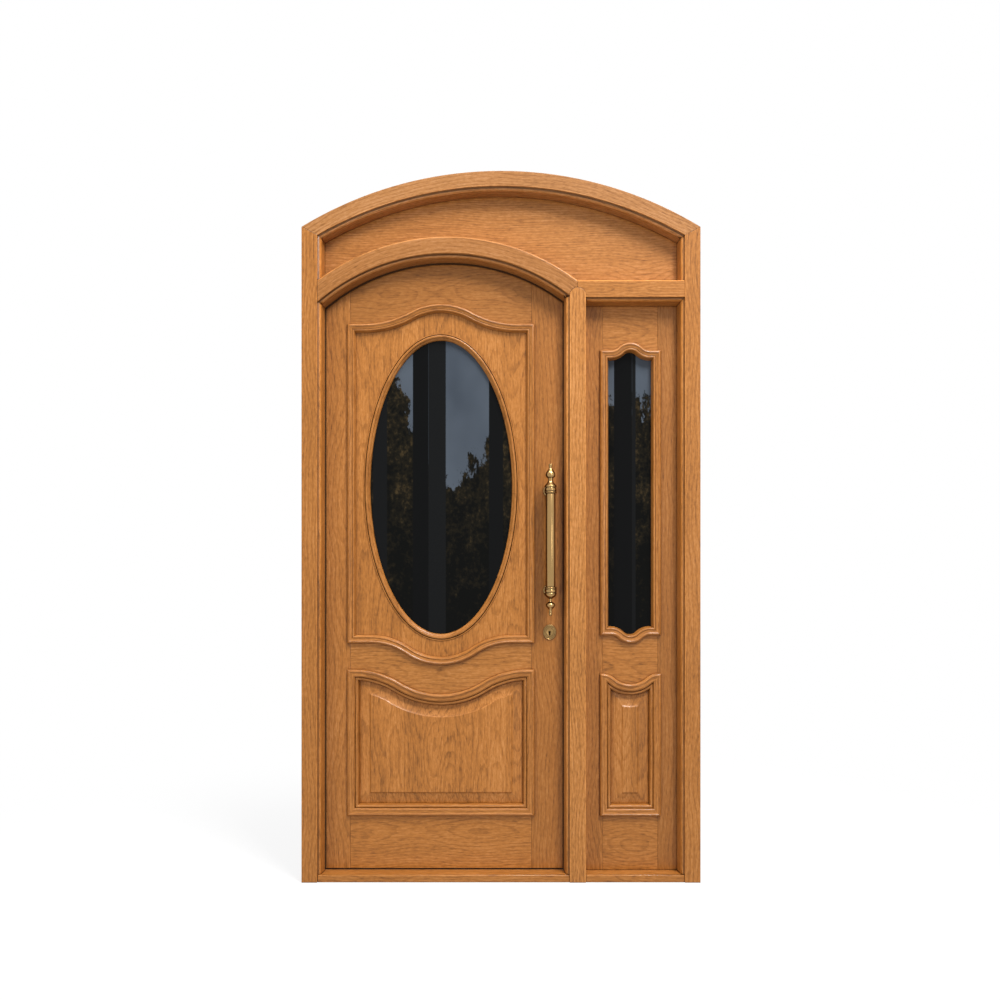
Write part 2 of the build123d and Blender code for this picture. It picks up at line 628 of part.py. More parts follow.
def make_pull_bracket(height):
    """Collar of the pull with its stem and base rose, one casting."""
    half = COLLAR_HEIGHT / 2
    ring = COLLAR_RADIUS - 1.5
    end = half + COLLAR_RING
    points = [(0, -end), (ring, -end), (ring, -half - 1), (COLLAR_RADIUS, -half),
              (COLLAR_RADIUS, half), (ring, half + 1), (ring, end), (0, end)]
    collar = Pos(HANDLE_X, HANDLE_Y, height) * lathe(points)
    to_wall = Plane((HANDLE_X, HANDLE_Y, height), x_dir=(1, 0, 0), z_dir=(0, 1, 0))
    stem = extrude(to_wall * Circle(STEM_RADIUS), HANDLE_STANDOFF, dir=(0, 1, 0))
    at_wall = Plane((HANDLE_X, LEAF_FRONT - ROSE_THICKNESS, height), x_dir=(1, 0, 0), z_dir=(0, 1, 0))
    rose = extrude(at_wall * Circle(ROSE_RADIUS), ROSE_THICKNESS, dir=(0, 1, 0))
    return collar + stem + rose


def make_pull_grip():
    low = LOWER_COLLAR + COLLAR_HEIGHT / 2 + COLLAR_RING
    high = UPPER_COLLAR - COLLAR_HEIGHT / 2 - COLLAR_RING
    tube = Cylinder(GRIP_RADIUS, high - low) - Cylinder(GRIP_RADIUS - GRIP_WALL, high - low)
    return Pos(HANDLE_X, HANDLE_Y, (low + high) / 2) * tube


def finial(height, bulb):
    """Turned end: flared foot, neck, bulb and tip, standing on its foot."""
    foot = COLLAR_RADIUS - 2
    foot_shares = [(1.0, 0.0), (0.75, 0.07), (0.42, 0.15), (0.32, 0.23), (0.42, 0.28)]
    bulb_shares = [(0.70, 0.31), (0.93, 0.38), (1.0, 0.47), (0.92, 0.55), (0.66, 0.64), (0.42, 0.71),
                   (0.34, 0.76), (0.39, 0.83), (0.37, 0.92), (0.18, 1.0)]
    turned = [(share * foot, rise * height) for share, rise in foot_shares]
    turned += [(share * bulb, rise * height) for share, rise in bulb_shares]
    return lathe([(0, 0)] + turned + [(0, height)])


def make_upper_finial():
    base = UPPER_COLLAR + COLLAR_HEIGHT / 2 + COLLAR_RING
    return Pos(HANDLE_X, HANDLE_Y, base) * finial(UPPER_FINIAL_HEIGHT, FINIAL_BULB_RADIUS)


def make_lower_finial():
    base = LOWER_COLLAR - COLLAR_HEIGHT / 2 - COLLAR_RING
    turned = Rot(180, 0, 0) * finial(LOWER_FINIAL_HEIGHT, FINIAL_BULB_RADIUS)
    return Pos(HANDLE_X, HANDLE_Y, base) * turned


def make_pull_caps():
    """Domed caps over the pull's fixings on the inside face."""
    caps = []
    for height in (UPPER_COLLAR, LOWER_COLLAR):
        plane = Plane((HANDLE_X, BACK, height), x_dir=(1, 0, 0), z_dir=(0, 1, 0))
        dome = lathe([(0, 0), (ROSE_RADIUS, 0), (ROSE_RADIUS, 0.25 * CAP_HEIGHT),
                      (0.8 * ROSE_RADIUS, 0.7 * CAP_HEIGHT), (0.4 * ROSE_RADIUS, CAP_HEIGHT),
                      (0, CAP_HEIGHT)])
        caps.append(plane.location * dome)
    return Part() + caps


def keyhole():
    """Keyhole elevation: round eye over a slot."""
    eye = disc(HANDLE_X, KEYHOLE_HEIGHT, KEYHOLE_RADIUS)
    half = KEYHOLE_SLOT / 2
    return eye + strip(HANDLE_X - half, HANDLE_X + half, KEYHOLE_HEIGHT - KEYHOLE_DROP, KEYHOLE_HEIGHT)


def make_escutcheon():
    centre = Pos(HANDLE_X, KEYHOLE_HEIGHT)
    front = LEAF_FRONT - ESCUTCHEON_THICKNESS
    plate = slab(centre * Ellipse(ESCUTCHEON_HALF_WIDTH, ESCUTCHEON_HALF_HEIGHT), front, LEAF_FRONT)
    inner = Ellipse(ESCUTCHEON_HALF_WIDTH - ESCUTCHEON_RIM, ESCUTCHEON_HALF_HEIGHT - ESCUTCHEON_RIM)
    dish = slab(centre * inner, front, front + ESCUTCHEON_DISH)
    return plate - dish - slab(keyhole(), front - OVER, LEAF_FRONT + OVER)


def lock_plate(x, toward):
    """Plate let in flush at a rebate face, reaching into the timber."""
    low = KEYHOLE_HEIGHT - LOCK_PLATE_HEIGHT / 2
    half = LOCK_PLATE_WIDTH / 2
    ends = sorted((x, x + toward * LOCK_PLATE_THICKNESS))
    return box(ends[0], ends[1], LEAF_MIDDLE - half, LEAF_MIDDLE + half, low, low + LOCK_PLATE_HEIGHT)


def make_lock_forend():
    return lock_plate(LEAF_RIGHT, -1)


def make_strike_plate():
    return lock_plate(LEAF_RIGHT + EDGE_GAP, 1)


def hinge_levels(height, first):
    """Heights of one half's knuckles, counted from the first."""
    pitch = HINGE_LENGTH / HINGE_KNUCKLES
    base = height - HINGE_LENGTH / 2
    return [(base + i * pitch + KNUCKLE_PLAY / 2, base + (i + 1) * pitch - KNUCKLE_PLAY / 2)
            for i in range(first, HINGE_KNUCKLES, 2)]


def hinge_half(height, first, inner, outer):
    """Plate in the running gap with its knuckles."""
    base = height - HINGE_LENGTH / 2
    air = KNUCKLE_AIR / 2
    half = box(inner, outer, BACK - HINGE_PLATE_DEPTH, BACK - air, base, base + HINGE_LENGTH)
    for low, high in hinge_levels(height, first):
        middle = (low + high) / 2
        half = half + box(inner, outer, BACK - air, HINGE_Y, low, high)
        half = half + Pos(HINGE_X, HINGE_Y, middle) * Cylinder(KNUCKLE_RADIUS, high - low)
    return half


def make_frame_hinge(height):
    wall = LEAF_LEFT - EDGE_GAP
    half = hinge_half(height, 0, wall, wall + HINGE_PLATE)
    pin = Pos(HINGE_X, HINGE_Y, height) * Cylinder(PIN_RADIUS, HINGE_LENGTH - KNUCKLE_PLAY)
    return half + pin


def make_leaf_hinge(height):
    half = hinge_half(height, 1, LEAF_LEFT - HINGE_PLATE, LEAF_LEFT)
    bore = Pos(HINGE_X, HINGE_Y, height) * Cylinder(PIN_RADIUS + PIN_CLEARANCE, HINGE_LENGTH + OVER)
    return half - bore


def build_frame(parts):
    jamb = make_hinge_jamb()
    far_jamb = make_sidelight_jamb()
    mullion = make_mullion()
    parts["hinge_jamb"] = jamb
    parts["sidelight_jamb"] = far_jamb
    parts["head_arch"] = make_head_arch()
    parts["mullion"] = mullion - make_strike_plate()
    parts["door_arch"] = make_door_arch(jamb, mullion)
    parts["sidelight_head_rail"] = make_sidelight_head_rail(far_jamb, mullion)
    parts["door_sill"] = make_sill(JAMB_FACE - LEAF_REBATE + STICKING, MULLION_LEFT, (jamb, mullion))
    parts["sidelight_sill"] = make_sill(SIDE_LEFT, SET_WIDTH - JAMB_FACE, (far_jamb, mullion))
    parts["transom_panel"] = make_transom_panel()
    parts["transom_bead"] = make_transom_bead()
    parts["strike_plate"] = make_strike_plate()


def build_sidelight(parts):
    area = strip(SIDE_LEFT, SIDE_RIGHT, SILL_HEIGHT, SIDE_TOP)
    left = SIDE_LEFT + SIDELIGHT_STILE
    right = SIDE_RIGHT - SIDELIGHT_STILE
    middle = (LOWER_BOTTOM + SIDE_PANEL_TOP) / 2
    top = (SIDE_GLASS_BOTTOM + SIDE_GLASS_TOP) / 2
    boards = make_boards(area, (SIDE_GLASS, SIDE_PANEL), left, right, SIDE_FRONT, (middle, middle, top))
    names = ("left_stile", "right_stile", "top_rail", "middle_rail", "bottom_rail")
    for name, board in zip(names, boards):
        parts["sidelight_" + name] = board
    parts["sidelight_glass"] = make_side_glass()
    parts["sidelight_panel"] = make_fielded_panel(SIDE_PANEL, SIDE_FRONT)
    seat = -(LEAF_THICKNESS - GLASS_THICKNESS) / 2
    section = moulding_section(GLAZING_MOULDING_WIDTH, seat, -PANEL_EDGE_RECESS)
    glazing = make_moulding(SIDE_GLASS, section, GLAZING_MOULDING_WIDTH, SIDE_FRONT)
    parts["sidelight_glazing_moulding_outside"] = glazing
    parts["sidelight_glazing_moulding_inside"] = inside_copy(glazing, SIDE_MIDDLE)
    moulding = make_moulding(SIDE_PANEL, panel_moulding_section(), PANEL_MOULDING_WIDTH, SIDE_FRONT)
    parts["sidelight_panel_moulding_outside"] = moulding
    parts["sidelight_panel_moulding_inside"] = inside_copy(moulding, SIDE_MIDDLE)


def build_leaf(parts):
    left = LEAF_LEFT + HINGE_STILE
    right = LEAF_RIGHT - LOCK_STILE
    middle = (LOWER_BOTTOM + LOWER_TOP) / 2
    boards = make_boards(leaf_area(), (UPPER, LOWER), left, right, LEAF_FRONT, (middle, middle, OVAL_CENTRE))
    hinge_stile, lock_stile, top_rail, middle_rail, bottom_rail = boards
    keyway = slab(keyhole(), LEAF_FRONT - OVER, BACK + OVER)
    parts["leaf_hinge_stile"] = hinge_stile
    parts["leaf_lock_stile"] = lock_stile - make_lock_forend() - keyway
    parts["leaf_top_rail"] = top_rail
    parts["leaf_middle_rail"] = middle_rail
    parts["leaf_bottom_rail"] = bottom_rail
    parts["leaf_oval_panel"] = make_oval_panel()
    parts["leaf_oval_glass"] = make_oval_glass()
    bead = make_oval_bead()
    parts["leaf_oval_bead_outside"] = bead
    parts["leaf_oval_bead_inside"] = inside_copy(bead, LEAF_MIDDLE)
    section = moulding_section(UPPER_MOULDING_WIDTH, -UPPER_PANEL_RECESS, -UPPER_PANEL_RECESS / 2)
    upper = make_moulding(UPPER, section, UPPER_MOULDING_WIDTH, LEAF_FRONT)
    parts["leaf_upper_moulding_outside"] = upper
    parts["leaf_upper_moulding_inside"] = inside_copy(upper, LEAF_MIDDLE)
    parts["leaf_lower_panel"] = make_fielded_panel(LOWER, LEAF_FRONT)
    lower = make_moulding(LOWER, panel_moulding_section(), PANEL_MOULDING_WIDTH, LEAF_FRONT)
    parts["leaf_lower_moulding_outside"] = lower
    parts["leaf_lower_moulding_inside"] = inside_copy(lower, LEAF_MIDDLE)


def build_hardware(parts):
    parts["pull_upper_bracket"] = make_pull_bracket(UPPER_COLLAR)
    parts["pull_lower_bracket"] = make_pull_bracket(LOWER_COLLAR)
    parts["pull_grip"] = make_pull_grip()
    parts["pull_upper_finial"] = make_upper_finial()
    parts["pull_lower_finial"] = make_lower_finial()
    parts["pull_inside_caps"] = make_pull_caps()
    escutcheon = make_escutcheon()
    parts["escutcheon_outside"] = escutcheon
    parts["escutcheon_inside"] = inside_copy(escutcheon, LEAF_MIDDLE)
    parts["lock_forend"] = make_lock_forend()
    parts["frame_hinge_halves"] = Part() + [make_frame_hinge(h) for h in HINGES]
    parts["leaf_hinge_halves"] = Part() + [make_leaf_hinge(h) for h in HINGES]


def main():
    os.makedirs("parts", exist_ok=True)
    parts = {}
    build_frame(parts)
    build_sidelight(parts)
    build_leaf(parts)
    build_hardware(parts)
    for name, shape in parts.items():
        export_step(shape, f"parts/{name}.step")


main()
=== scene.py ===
# %% [markdown]
# # Arched oak front door set
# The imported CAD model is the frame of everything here: metres, x from the hinge jamb to the sidelight, y
# from outside to inside, z up from the floor. The boards keep their CAD meshes and get a finish. The pieces
# whose curves need a finer mesh, which are the planted mouldings, the oval bead, the pull and the keyhole
# plates, are made again in the same places. Their sizes are in millimetres, and MM turns them into metres.

# %% Load the frame
import bpy
import json
import math
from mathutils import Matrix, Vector


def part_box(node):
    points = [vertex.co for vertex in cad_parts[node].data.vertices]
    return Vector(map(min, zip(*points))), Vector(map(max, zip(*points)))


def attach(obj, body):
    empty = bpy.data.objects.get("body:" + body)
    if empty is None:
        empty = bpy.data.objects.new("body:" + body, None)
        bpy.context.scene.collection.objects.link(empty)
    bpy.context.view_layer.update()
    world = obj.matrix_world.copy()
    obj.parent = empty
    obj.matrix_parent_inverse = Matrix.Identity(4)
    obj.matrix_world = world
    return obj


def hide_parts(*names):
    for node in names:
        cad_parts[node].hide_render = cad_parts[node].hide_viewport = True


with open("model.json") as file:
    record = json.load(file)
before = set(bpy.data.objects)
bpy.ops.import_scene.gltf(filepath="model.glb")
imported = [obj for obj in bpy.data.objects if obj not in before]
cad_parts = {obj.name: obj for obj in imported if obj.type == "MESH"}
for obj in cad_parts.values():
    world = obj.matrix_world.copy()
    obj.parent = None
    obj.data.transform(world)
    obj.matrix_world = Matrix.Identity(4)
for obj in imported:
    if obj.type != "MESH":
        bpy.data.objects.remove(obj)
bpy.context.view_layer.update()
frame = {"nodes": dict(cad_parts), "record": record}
nodes = frame["nodes"]
slots = {row["node"]: row["material_slot"] for row in frame["record"]["subparts"]}
MM = 0.001

# %% [markdown]
# ## Shader maths as Python
# A finish is a formula over the surface. Wiring it by hand hides the formula, so one small class stands for
# a socket: its operators add Math nodes, and its method `node` adds any other node. The same class builds
# the Geometry Nodes trees further down.

# %% Socket class
class Sock:
    """An output socket that takes part in sums: every operator adds one Math node."""

    def __init__(self, tree, socket=None):
        self.tree = tree
        self.socket = socket

    def node(self, kind, settings=None, output=0, **inputs):
        """Add a node: its settings first, then its sockets by name, or by number as in s6."""
        made = self.tree.nodes.new(kind)
        for name, value in (settings or {}).items():
            if name == "stops":
                set_stops(made.color_ramp, value)
            else:
                setattr(made, name, value)
        for name, value in inputs.items():
            counted = name[0] == "s" and name[1:].isdigit()
            socket = made.inputs[int(name[1:]) if counted else name.replace("_", " ")]
            if isinstance(value, Sock):
                self.tree.links.new(value.socket, socket)
            else:
                socket.default_value = value
        return Sock(self.tree, made.outputs[output])

    def math(self, operation, first, second=0.0):
        return self.node("ShaderNodeMath", {"operation": operation}, s0=first, s1=second)

    def __add__(self, other):
        return self.math("ADD", self, other)

    __radd__ = __add__

    def __sub__(self, other):
        return self.math("SUBTRACT", self, other)

    def __rsub__(self, other):
        return self.math("SUBTRACT", other, self)

    def __mul__(self, other):
        return self.math("MULTIPLY", self, other)

    __rmul__ = __mul__

    def __truediv__(self, other):
        return self.math("DIVIDE", self, other)

    def floor(self):
        return self.math("FLOOR", self)

    def fract(self):
        return self.math("FRACT", self)

    def sqrt(self):
        return self.math("SQRT", self)

    def clip(self, low, high):
        """Zero below low, one above high, smooth between them."""
        return self.node("ShaderNodeMapRange", {"interpolation_type": "SMOOTHSTEP"}, Value=self,
                         From_Min=low, From_Max=high)

    def vector(self, x, y, z):
        return self.node("ShaderNodeCombineXYZ", X=x, Y=y, Z=z)

    def split(self):
        parts = self.node("ShaderNodeSeparateXYZ", s0=self).socket.node.outputs
        return [Sock(self.tree, part) for part in parts]

    def place(self):
        """Object coordinates of the shaded point."""
        return self.node("ShaderNodeTexCoord", output=3).split()

    def noise(self, x, y, z, detail=2.0, roughness=0.5):
        """Noise over three coordinates that carry their own scales."""
        return self.node("ShaderNodeTexNoise", Vector=self.vector(x, y, z), Scale=1.0, Detail=detail,
                         Roughness=roughness)

    def ramp(self, *stops):
        return self.node("ShaderNodeValToRGB", {"stops": stops}, Fac=self)

    def blend(self, kind, factor, first, second):
        """Mix two colours."""
        return self.node("ShaderNodeMix", {"data_type": "RGBA", "blend_type": kind}, 2, s0=factor, s6=first,
                         s7=second)


def set_stops(color_ramp, stops):
    """Give a colour ramp its (position, colour) stops."""
    while len(color_ramp.elements) < len(stops):
        color_ramp.elements.new(0.5)
    for element, (position, colour) in zip(color_ramp.elements, stops):
        element.position = position
        element.color = (*colour, 1.0)


def new_material(name):
    """Material with a Principled shader: its first socket for sums, and the shader."""
    material = bpy.data.materials.new(name)
    material.use_nodes = True
    tree = material.node_tree
    tree.nodes.clear()
    shader = tree.nodes.new("ShaderNodeBsdfPrincipled")
    output = tree.nodes.new("ShaderNodeOutputMaterial")
    tree.links.new(shader.outputs[0], output.inputs[0])
    return material, Sock(tree), shader


def feed(shader, **values):
    """Set or link the shader's own sockets by name."""
    for name, value in values.items():
        socket = shader.inputs[name.replace("_", " ")]
        if isinstance(value, Sock):
            value.tree.links.new(value.socket, socket)
        else:
            socket.default_value = value


print("socket class ready")

# %% [markdown]
# ## Varnished oak
# Oak shows growth rings cut at a slant, fine fibres, short open pores and small flecks. The rings are a
# solid figure: the distance from a pith that lies under each board and comes nearer or goes deeper along it,
# which draws the pointed arches of plain-sawn panels. Boards sawn further from the pith show straight lines.
# Every piece has its own pith and tone, and that tone also carries painted light and shade. The grain runs
# upright in stiles, level in rails, round an arch in the arches, and along its own run in a moulding, whose
# mesh carries that as an attribute. Painted shade darkens quirks and joints, which the Ambient Occlusion
# node finds.

# %% Oak
OAK_DARK = (0.170, 0.058, 0.0085)
OAK_MID = (0.400, 0.150, 0.0280)
OAK_LIGHT = (0.600, 0.272, 0.0860)
# painted shade that the Ambient Occlusion node lays into corners, quirks and joints
CORNER_SHADE = (0.24, 0.17, 0.11, 1.0)
WHITE = (1.0, 1.0, 1.0, 1.0)
PLAIN = (1.0, 1.0, 1.0)
RINGS = 112.0  # growth rings in a metre
LOG = 3.7  # the figure starts anywhere along a log of this length
GOLDEN = 0.618  # spreads the seeds evenly
STICKING_DEPTH = (-0.030, -0.020)  # the sticking fades out between these depths


def grain_axes(start, grain, arch):
    """Along, across and depth of the grain at the shaded point."""
    if grain == "run":
        return start.node("ShaderNodeAttribute", {"attribute_name": "grain"}, 1).split()
    x, y, z = start.place()
    if grain == "level":
        return x, z, y
    if grain == "arch":
        dx, dz = x - arch[0], z - arch[1]
        return start.math("ARCTAN2", dx, dz) * arch[2], (dx * dx + dz * dz).sqrt() - arch[2], y
    return z, x, y


def band(place, low, high, edge=0.0008):
    """One between two places, with soft edges."""
    return place.clip(low - edge, low + edge) * (1.0 - place.clip(high - edge, high + edge))


def oak(name, grain, seed, pith=0.11, swing=0.5, pace=1.7, middle=0.0, arch=None, stave=0.0, tone_and_light=PLAIN,
        edges=(), shade_reach=0.007, gloss=0.24):
    """Oak for one piece. The heart lies pith deep under the middle of its width and wanders by swing, pace
    times in a metre. Stave is the width of glued-up strips, tone_and_light the cast with painted light and
    shade in it, edges the (low, high, shade) bands of painted light and shade along its sticking,
    shade_reach the reach of the painted shade into corners and gloss the varnish. The noises take their
    scales per metre, along the grain first."""
    material, start, shader = new_material(name)
    along, across, depth = grain_axes(start, grain, arch)
    turn = (seed * GOLDEN) % 1.0
    if stave:
        strip = ((across + 0.013) / stave).floor()
        jump = start.node("ShaderNodeTexWhiteNoise", {"noise_dimensions": "1D"}, W=strip + seed)
        heart = across - (strip + 0.5) * stave + (jump - 0.5) * 0.04
        lie = along + jump * LOG
        board = (jump - 0.5) * 0.15
    else:
        heart = across - middle - 0.05 * (turn - 0.5) - (start.noise(along * 0.7, seed, 0.0) - 0.5) * 0.10
        lie = along + turn * LOG
        board = 0.0
    bend = start.noise(lie * 2.3 + seed * 3.1, across * 9.0, depth * 9.0, 2.0) - 0.5
    wander = start.noise(lie * pace + seed * 5.7, seed, 0.0, 1.0) - 0.5
    side = heart + bend * (0.010 + 0.014 * min(swing, 1.0))
    deep = depth + pith * (1.0 + 2.6 * swing * wander)
    wave = start.noise(lie * 7.0, across * 46.0 + seed, depth * 46.0, 3.0, 0.6)
    rings = ((side * side + deep * deep).sqrt() * RINGS + wave * 1.2).fract()
    late = rings.clip(0.50, 0.95) * (1.0 - rings.clip(0.95, 1.0))
    fibre = start.noise(lie * 9.0, across * 300.0 + seed, depth * 300.0, 3.0, 0.62)
    fleck = start.noise(lie * 58.0, across * 130.0 + seed, depth * 130.0, 2.0, 0.6)
    cloud = start.noise(lie * 2.1 + seed, across * 13.0, depth * 5.0, 2.0)
    pores = start.noise(lie * 30.0, across * 420.0, depth * 420.0, 1.0)
    figure = (0.52 + board + (fibre - 0.5) * 0.52 + (fleck - 0.5) * 0.42 + (cloud - 0.5) * 0.30
              - late * 0.15 - (0.44 - pores).clip(0.0, 0.09) * 0.17)
    mid, light = ([part * cast for part, cast in zip(shade, tone_and_light)] for shade in (OAK_MID, OAK_LIGHT))
    colour = figure.ramp((0.12, OAK_DARK), (0.50, mid), (0.90, light))
    # painted shade: darker and less glossy where the Ambient Occlusion node finds corners and joints
    open_air = start.node("ShaderNodeAmbientOcclusion", {"samples": 6}, 1, Distance=shade_reach)
    unshaded_and_clean = open_air.clip(0.34, 0.88)
    colour = start.blend("MULTIPLY", 1.0, colour, start.blend("MIX", unshaded_and_clean, CORNER_SHADE, WHITE))
    # painted light and shade: darker in the quirk, lighter on the arris and the bead
    for low, high, shade in edges:
        front = 1.0 - depth.clip(*STICKING_DEPTH)
        strip = band(across, low, high) * front
        colour = start.blend("MULTIPLY", 1.0, colour, 1.0 - strip * shade)
        unshaded_and_clean = unshaded_and_clean * (1.0 - strip * max(shade, 0.0))
    relief = fibre * 0.5 + fleck * 0.4 - late * 0.3
    feed(shader, Base_Color=colour, Roughness=0.36 + fibre * 0.16, Specular_IOR_Level=0.25,
         Coat_Weight=gloss * unshaded_and_clean, Coat_Roughness=0.17,
         Normal=start.node("ShaderNodeBump", Height=relief, Strength=0.18, Distance=0.0008))
    return material


print("oak ready")

# %% [markdown]
# ## Brass, steel, rubber and glass
# The fittings are aged satin brass, brown with patina in the grooves that polish never reaches, which the
# Ambient Occlusion mask finds. Their flanks, which the Normal output finds, are darker than the faces toward
# the room and the street: painted shade. The panes are dark glass with a painted reflection of tall posts, a
# slate sky and the loose edge of trees, drawn by bands and noise on Object coordinates. The seals are matt
# rubber, dark to paint the shade in the gaps round the leaf.

# %% Metals and glass
def metal(name, bright, dull, rough, flank_shade):
    """Satin metal with patina in its grooves. Flank_shade is how much the faces toward the room and the
    street
    outshine the flanks: painted shade on the flanks of round pieces."""
    material, start, shader = new_material(name)
    x, y, z = start.place()
    cloud = start.noise(x * 60.0, y * 60.0, z * 60.0, 3.0, 0.55)
    brushed = start.noise(x * 400.0, y * 400.0, z * 20.0, 2.0)
    open_air = start.node("ShaderNodeAmbientOcclusion", {"samples": 4}, 1, Distance=0.0032)
    facing = start.node("ShaderNodeTexCoord", output=1).split()[1]
    # painted shade: faces turned away from the room and the street are darker
    front = start.math("ABSOLUTE", facing).clip(0.25, 1.0)
    unshaded_and_clean = open_air.clip(0.30, 0.92)
    patina_and_flank_shade = unshaded_and_clean * (0.90 + cloud * 0.20) * (1.0 - flank_shade + flank_shade * front)
    feed(shader, Base_Color=patina_and_flank_shade.ramp((0.10, dull), (0.90, bright)), Metallic=1.0,
         Roughness=rough + brushed * 0.06 + (1.0 - unshaded_and_clean) * 0.20, Specular_Tint=(0.40, 0.28, 0.14, 1.0))
    return material


def pane(name, posts, treetop, dip, middle):
    """Dark glass with a painted reflection in its colour: posts are dark upright bands as (low x, high x,
    grey).
    The reflected trees stand treetop high at middle and rise by dip to either side, over a painted sky."""
    material, start, shader = new_material(name)
    x, _, z = start.place()
    edge = start.noise(x * 17.0, 4.0, z * 9.0, 7.0, 0.74) - 0.5
    leaves = start.noise(x * 62.0, 7.0, z * 54.0, 4.0, 0.70)
    clumps = start.noise(x * 15.0, 9.0, z * 12.0, 3.0, 0.6)
    line = (x - middle) * (x - middle) * dip + treetop
    clear = (z + edge * 0.60 - line).clip(-0.015, 0.012)
    foot = z.clip(0.90, 1.60)
    trees = (leaves * 1.2 + clumps * 1.1 - 0.98 + foot * 0.26).ramp(
        (0.26, (0.0028, 0.0030, 0.0027)), (0.50, (0.0110, 0.0090, 0.0052)), (0.80, (0.0560, 0.0380, 0.0165)))
    haze = start.noise(x * 3.0, 2.0, z * 2.0, 3.0).ramp((0.30, (0.044, 0.055, 0.072)),
                                                      (0.75, (0.092, 0.112, 0.140)))
    # painted reflection: trees over a sky, then dark posts, drawn into the glass's colour
    painted_reflection = start.blend("MIX", clear, trees, haze)
    for low_x, high_x, grey in posts:
        shade = (grey, grey * 1.08, grey * 1.16, 1.0)
        painted_reflection = start.blend("MIX", band(x, low_x, high_x, 0.0015), painted_reflection, shade)
    feed(shader, Base_Color=painted_reflection, Roughness=0.03, IOR=1.5, Specular_IOR_Level=0.06)
    return material


def rubber(name, dark, pale):
    """Matt rubber with a dusty grain."""
    material, start, shader = new_material(name)
    x, y, z = start.place()
    dust = start.noise(x * 240.0, y * 240.0, z * 240.0, 3.0)
    feed(shader, Base_Color=dust.ramp((0.3, dark), (0.8, pale)),
         Roughness=0.72 + dust * 0.2, Specular_IOR_Level=0.2)
    return material


BRASS = metal("aged_brass", (0.395, 0.244, 0.098), (0.036, 0.018, 0.005), 0.20, 0.72)
DULL_BRASS = metal("dull_brass", (0.330, 0.200, 0.076), (0.030, 0.015, 0.004), 0.26, 0.70)
STEEL = metal("satin_steel", (0.50, 0.47, 0.41), (0.16, 0.14, 0.11), 0.30, 0.0)
OVAL_PANE = pane("oval_pane", ((0.4046, 0.4637, 0.0034), (0.4637, 0.5293, 0.0072), (0.6931, 0.7462, 0.0044),
                               (0.2534, 0.3065, 0.0062)), 1.50, 8.6, 0.56)
SIDE_PANE = pane("sidelight_pane", ((1.1663, 1.2344, 0.0036), (1.2344, 1.2480, 0.0070)), 1.80, 0.0, 1.25)
SHADE_BLACK_RUBBER = rubber("black_rubber", (0.004, 0.004, 0.004), (0.016, 0.015, 0.014))
SHADOW_LINE_RUBBER = rubber("brown_rubber", (0.030, 0.013, 0.005), (0.070, 0.031, 0.011))
print("metals, glass and rubber ready")

# %% [markdown]
# ## Dress the CAD pieces
# The boards are sharp-edged in CAD. A joiner takes the arrises off, and that is what draws the fine dark
# lines where stile meets rail, so Weld, Decimate and Bevel go on every board: the first closes the loose
# triangles, the second joins flat ones, and the third rounds the edges by a little over a millimetre. The
# frame's inner edges carry sticking, a quirk and a bead, whose light and shade are painted as bands in the
# finish: painted shade in the quirk and painted highlights on the arris and the bead.

# %% Boards
# Centre x, centre z and radius of the arches that the grain follows.
ARCHES = {"head_arch": (0.7385, 1.21424, 1.42076), "door_arch": (0.5405, 1.595, 0.798)}
LEVEL = ("rail", "sill", "transom_panel", "transom_bead")
STAVES = {"leaf_oval_panel": 0.063, "leaf_lower_panel": 0.064, "sidelight_panel": 0.062}
# How far below its middle a level board's heart lies.
LEANS = {"transom_panel": 0.13, "sidelight_middle_rail": 0.03}
ARRIS = 1.3 * MM
ARCH_WEAR = 2.2  # the door arch's edges are rounder by this
FLAT_ANGLE, EDGE_ANGLE = math.radians(0.4), math.radians(34)
# Bands of the sticking from the edge of the face: painted highlight on the arris, painted shade in the quirk
# and painted highlight on the bead.
STICKING_LIGHT_AND_SHADE = ((-0.0042, 0.0, -0.20), (0.0004, 0.0056, 1.0), (0.0066, 0.0126, -0.40))


def sticking(face, way, quirk):
    """Painted light and shade along one edge of a frame member's face; way is +1 or -1, quirk is how dark
    the painted shade in its groove is.
    """
    return [(*sorted((face + way * a, face + way * b)), shade * quirk if shade > 0 else shade)
            for a, b, shade in STICKING_LIGHT_AND_SHADE]


RAIL_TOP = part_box("sidelight_head_rail")[1][2]
# Where each face ends: x on the uprights, z on the rail, and from the arch's own radius on the arches.
# The door arch's outer edge and the rail's top edge also get a band of painted highlight.
PAINTED_EDGE_BANDS = {"hinge_jamb": sticking(0.058, 1, 0.32), "sidelight_jamb": sticking(1.419, -1, 0.32),
         "mullion": sticking(0.99297, -1, 0.36) + sticking(1.05297, 1, 0.36),
         "head_arch": sticking(-0.056, -1, 0.52),
         "door_arch": sticking(-0.063, -1, 0.52) + [(-0.0050, 0.0010, -0.80)],
         "sidelight_head_rail": sticking(2.168, -1, 0.45) + [(RAIL_TOP - 0.0046, RAIL_TOP + 0.0010, -0.70)]}
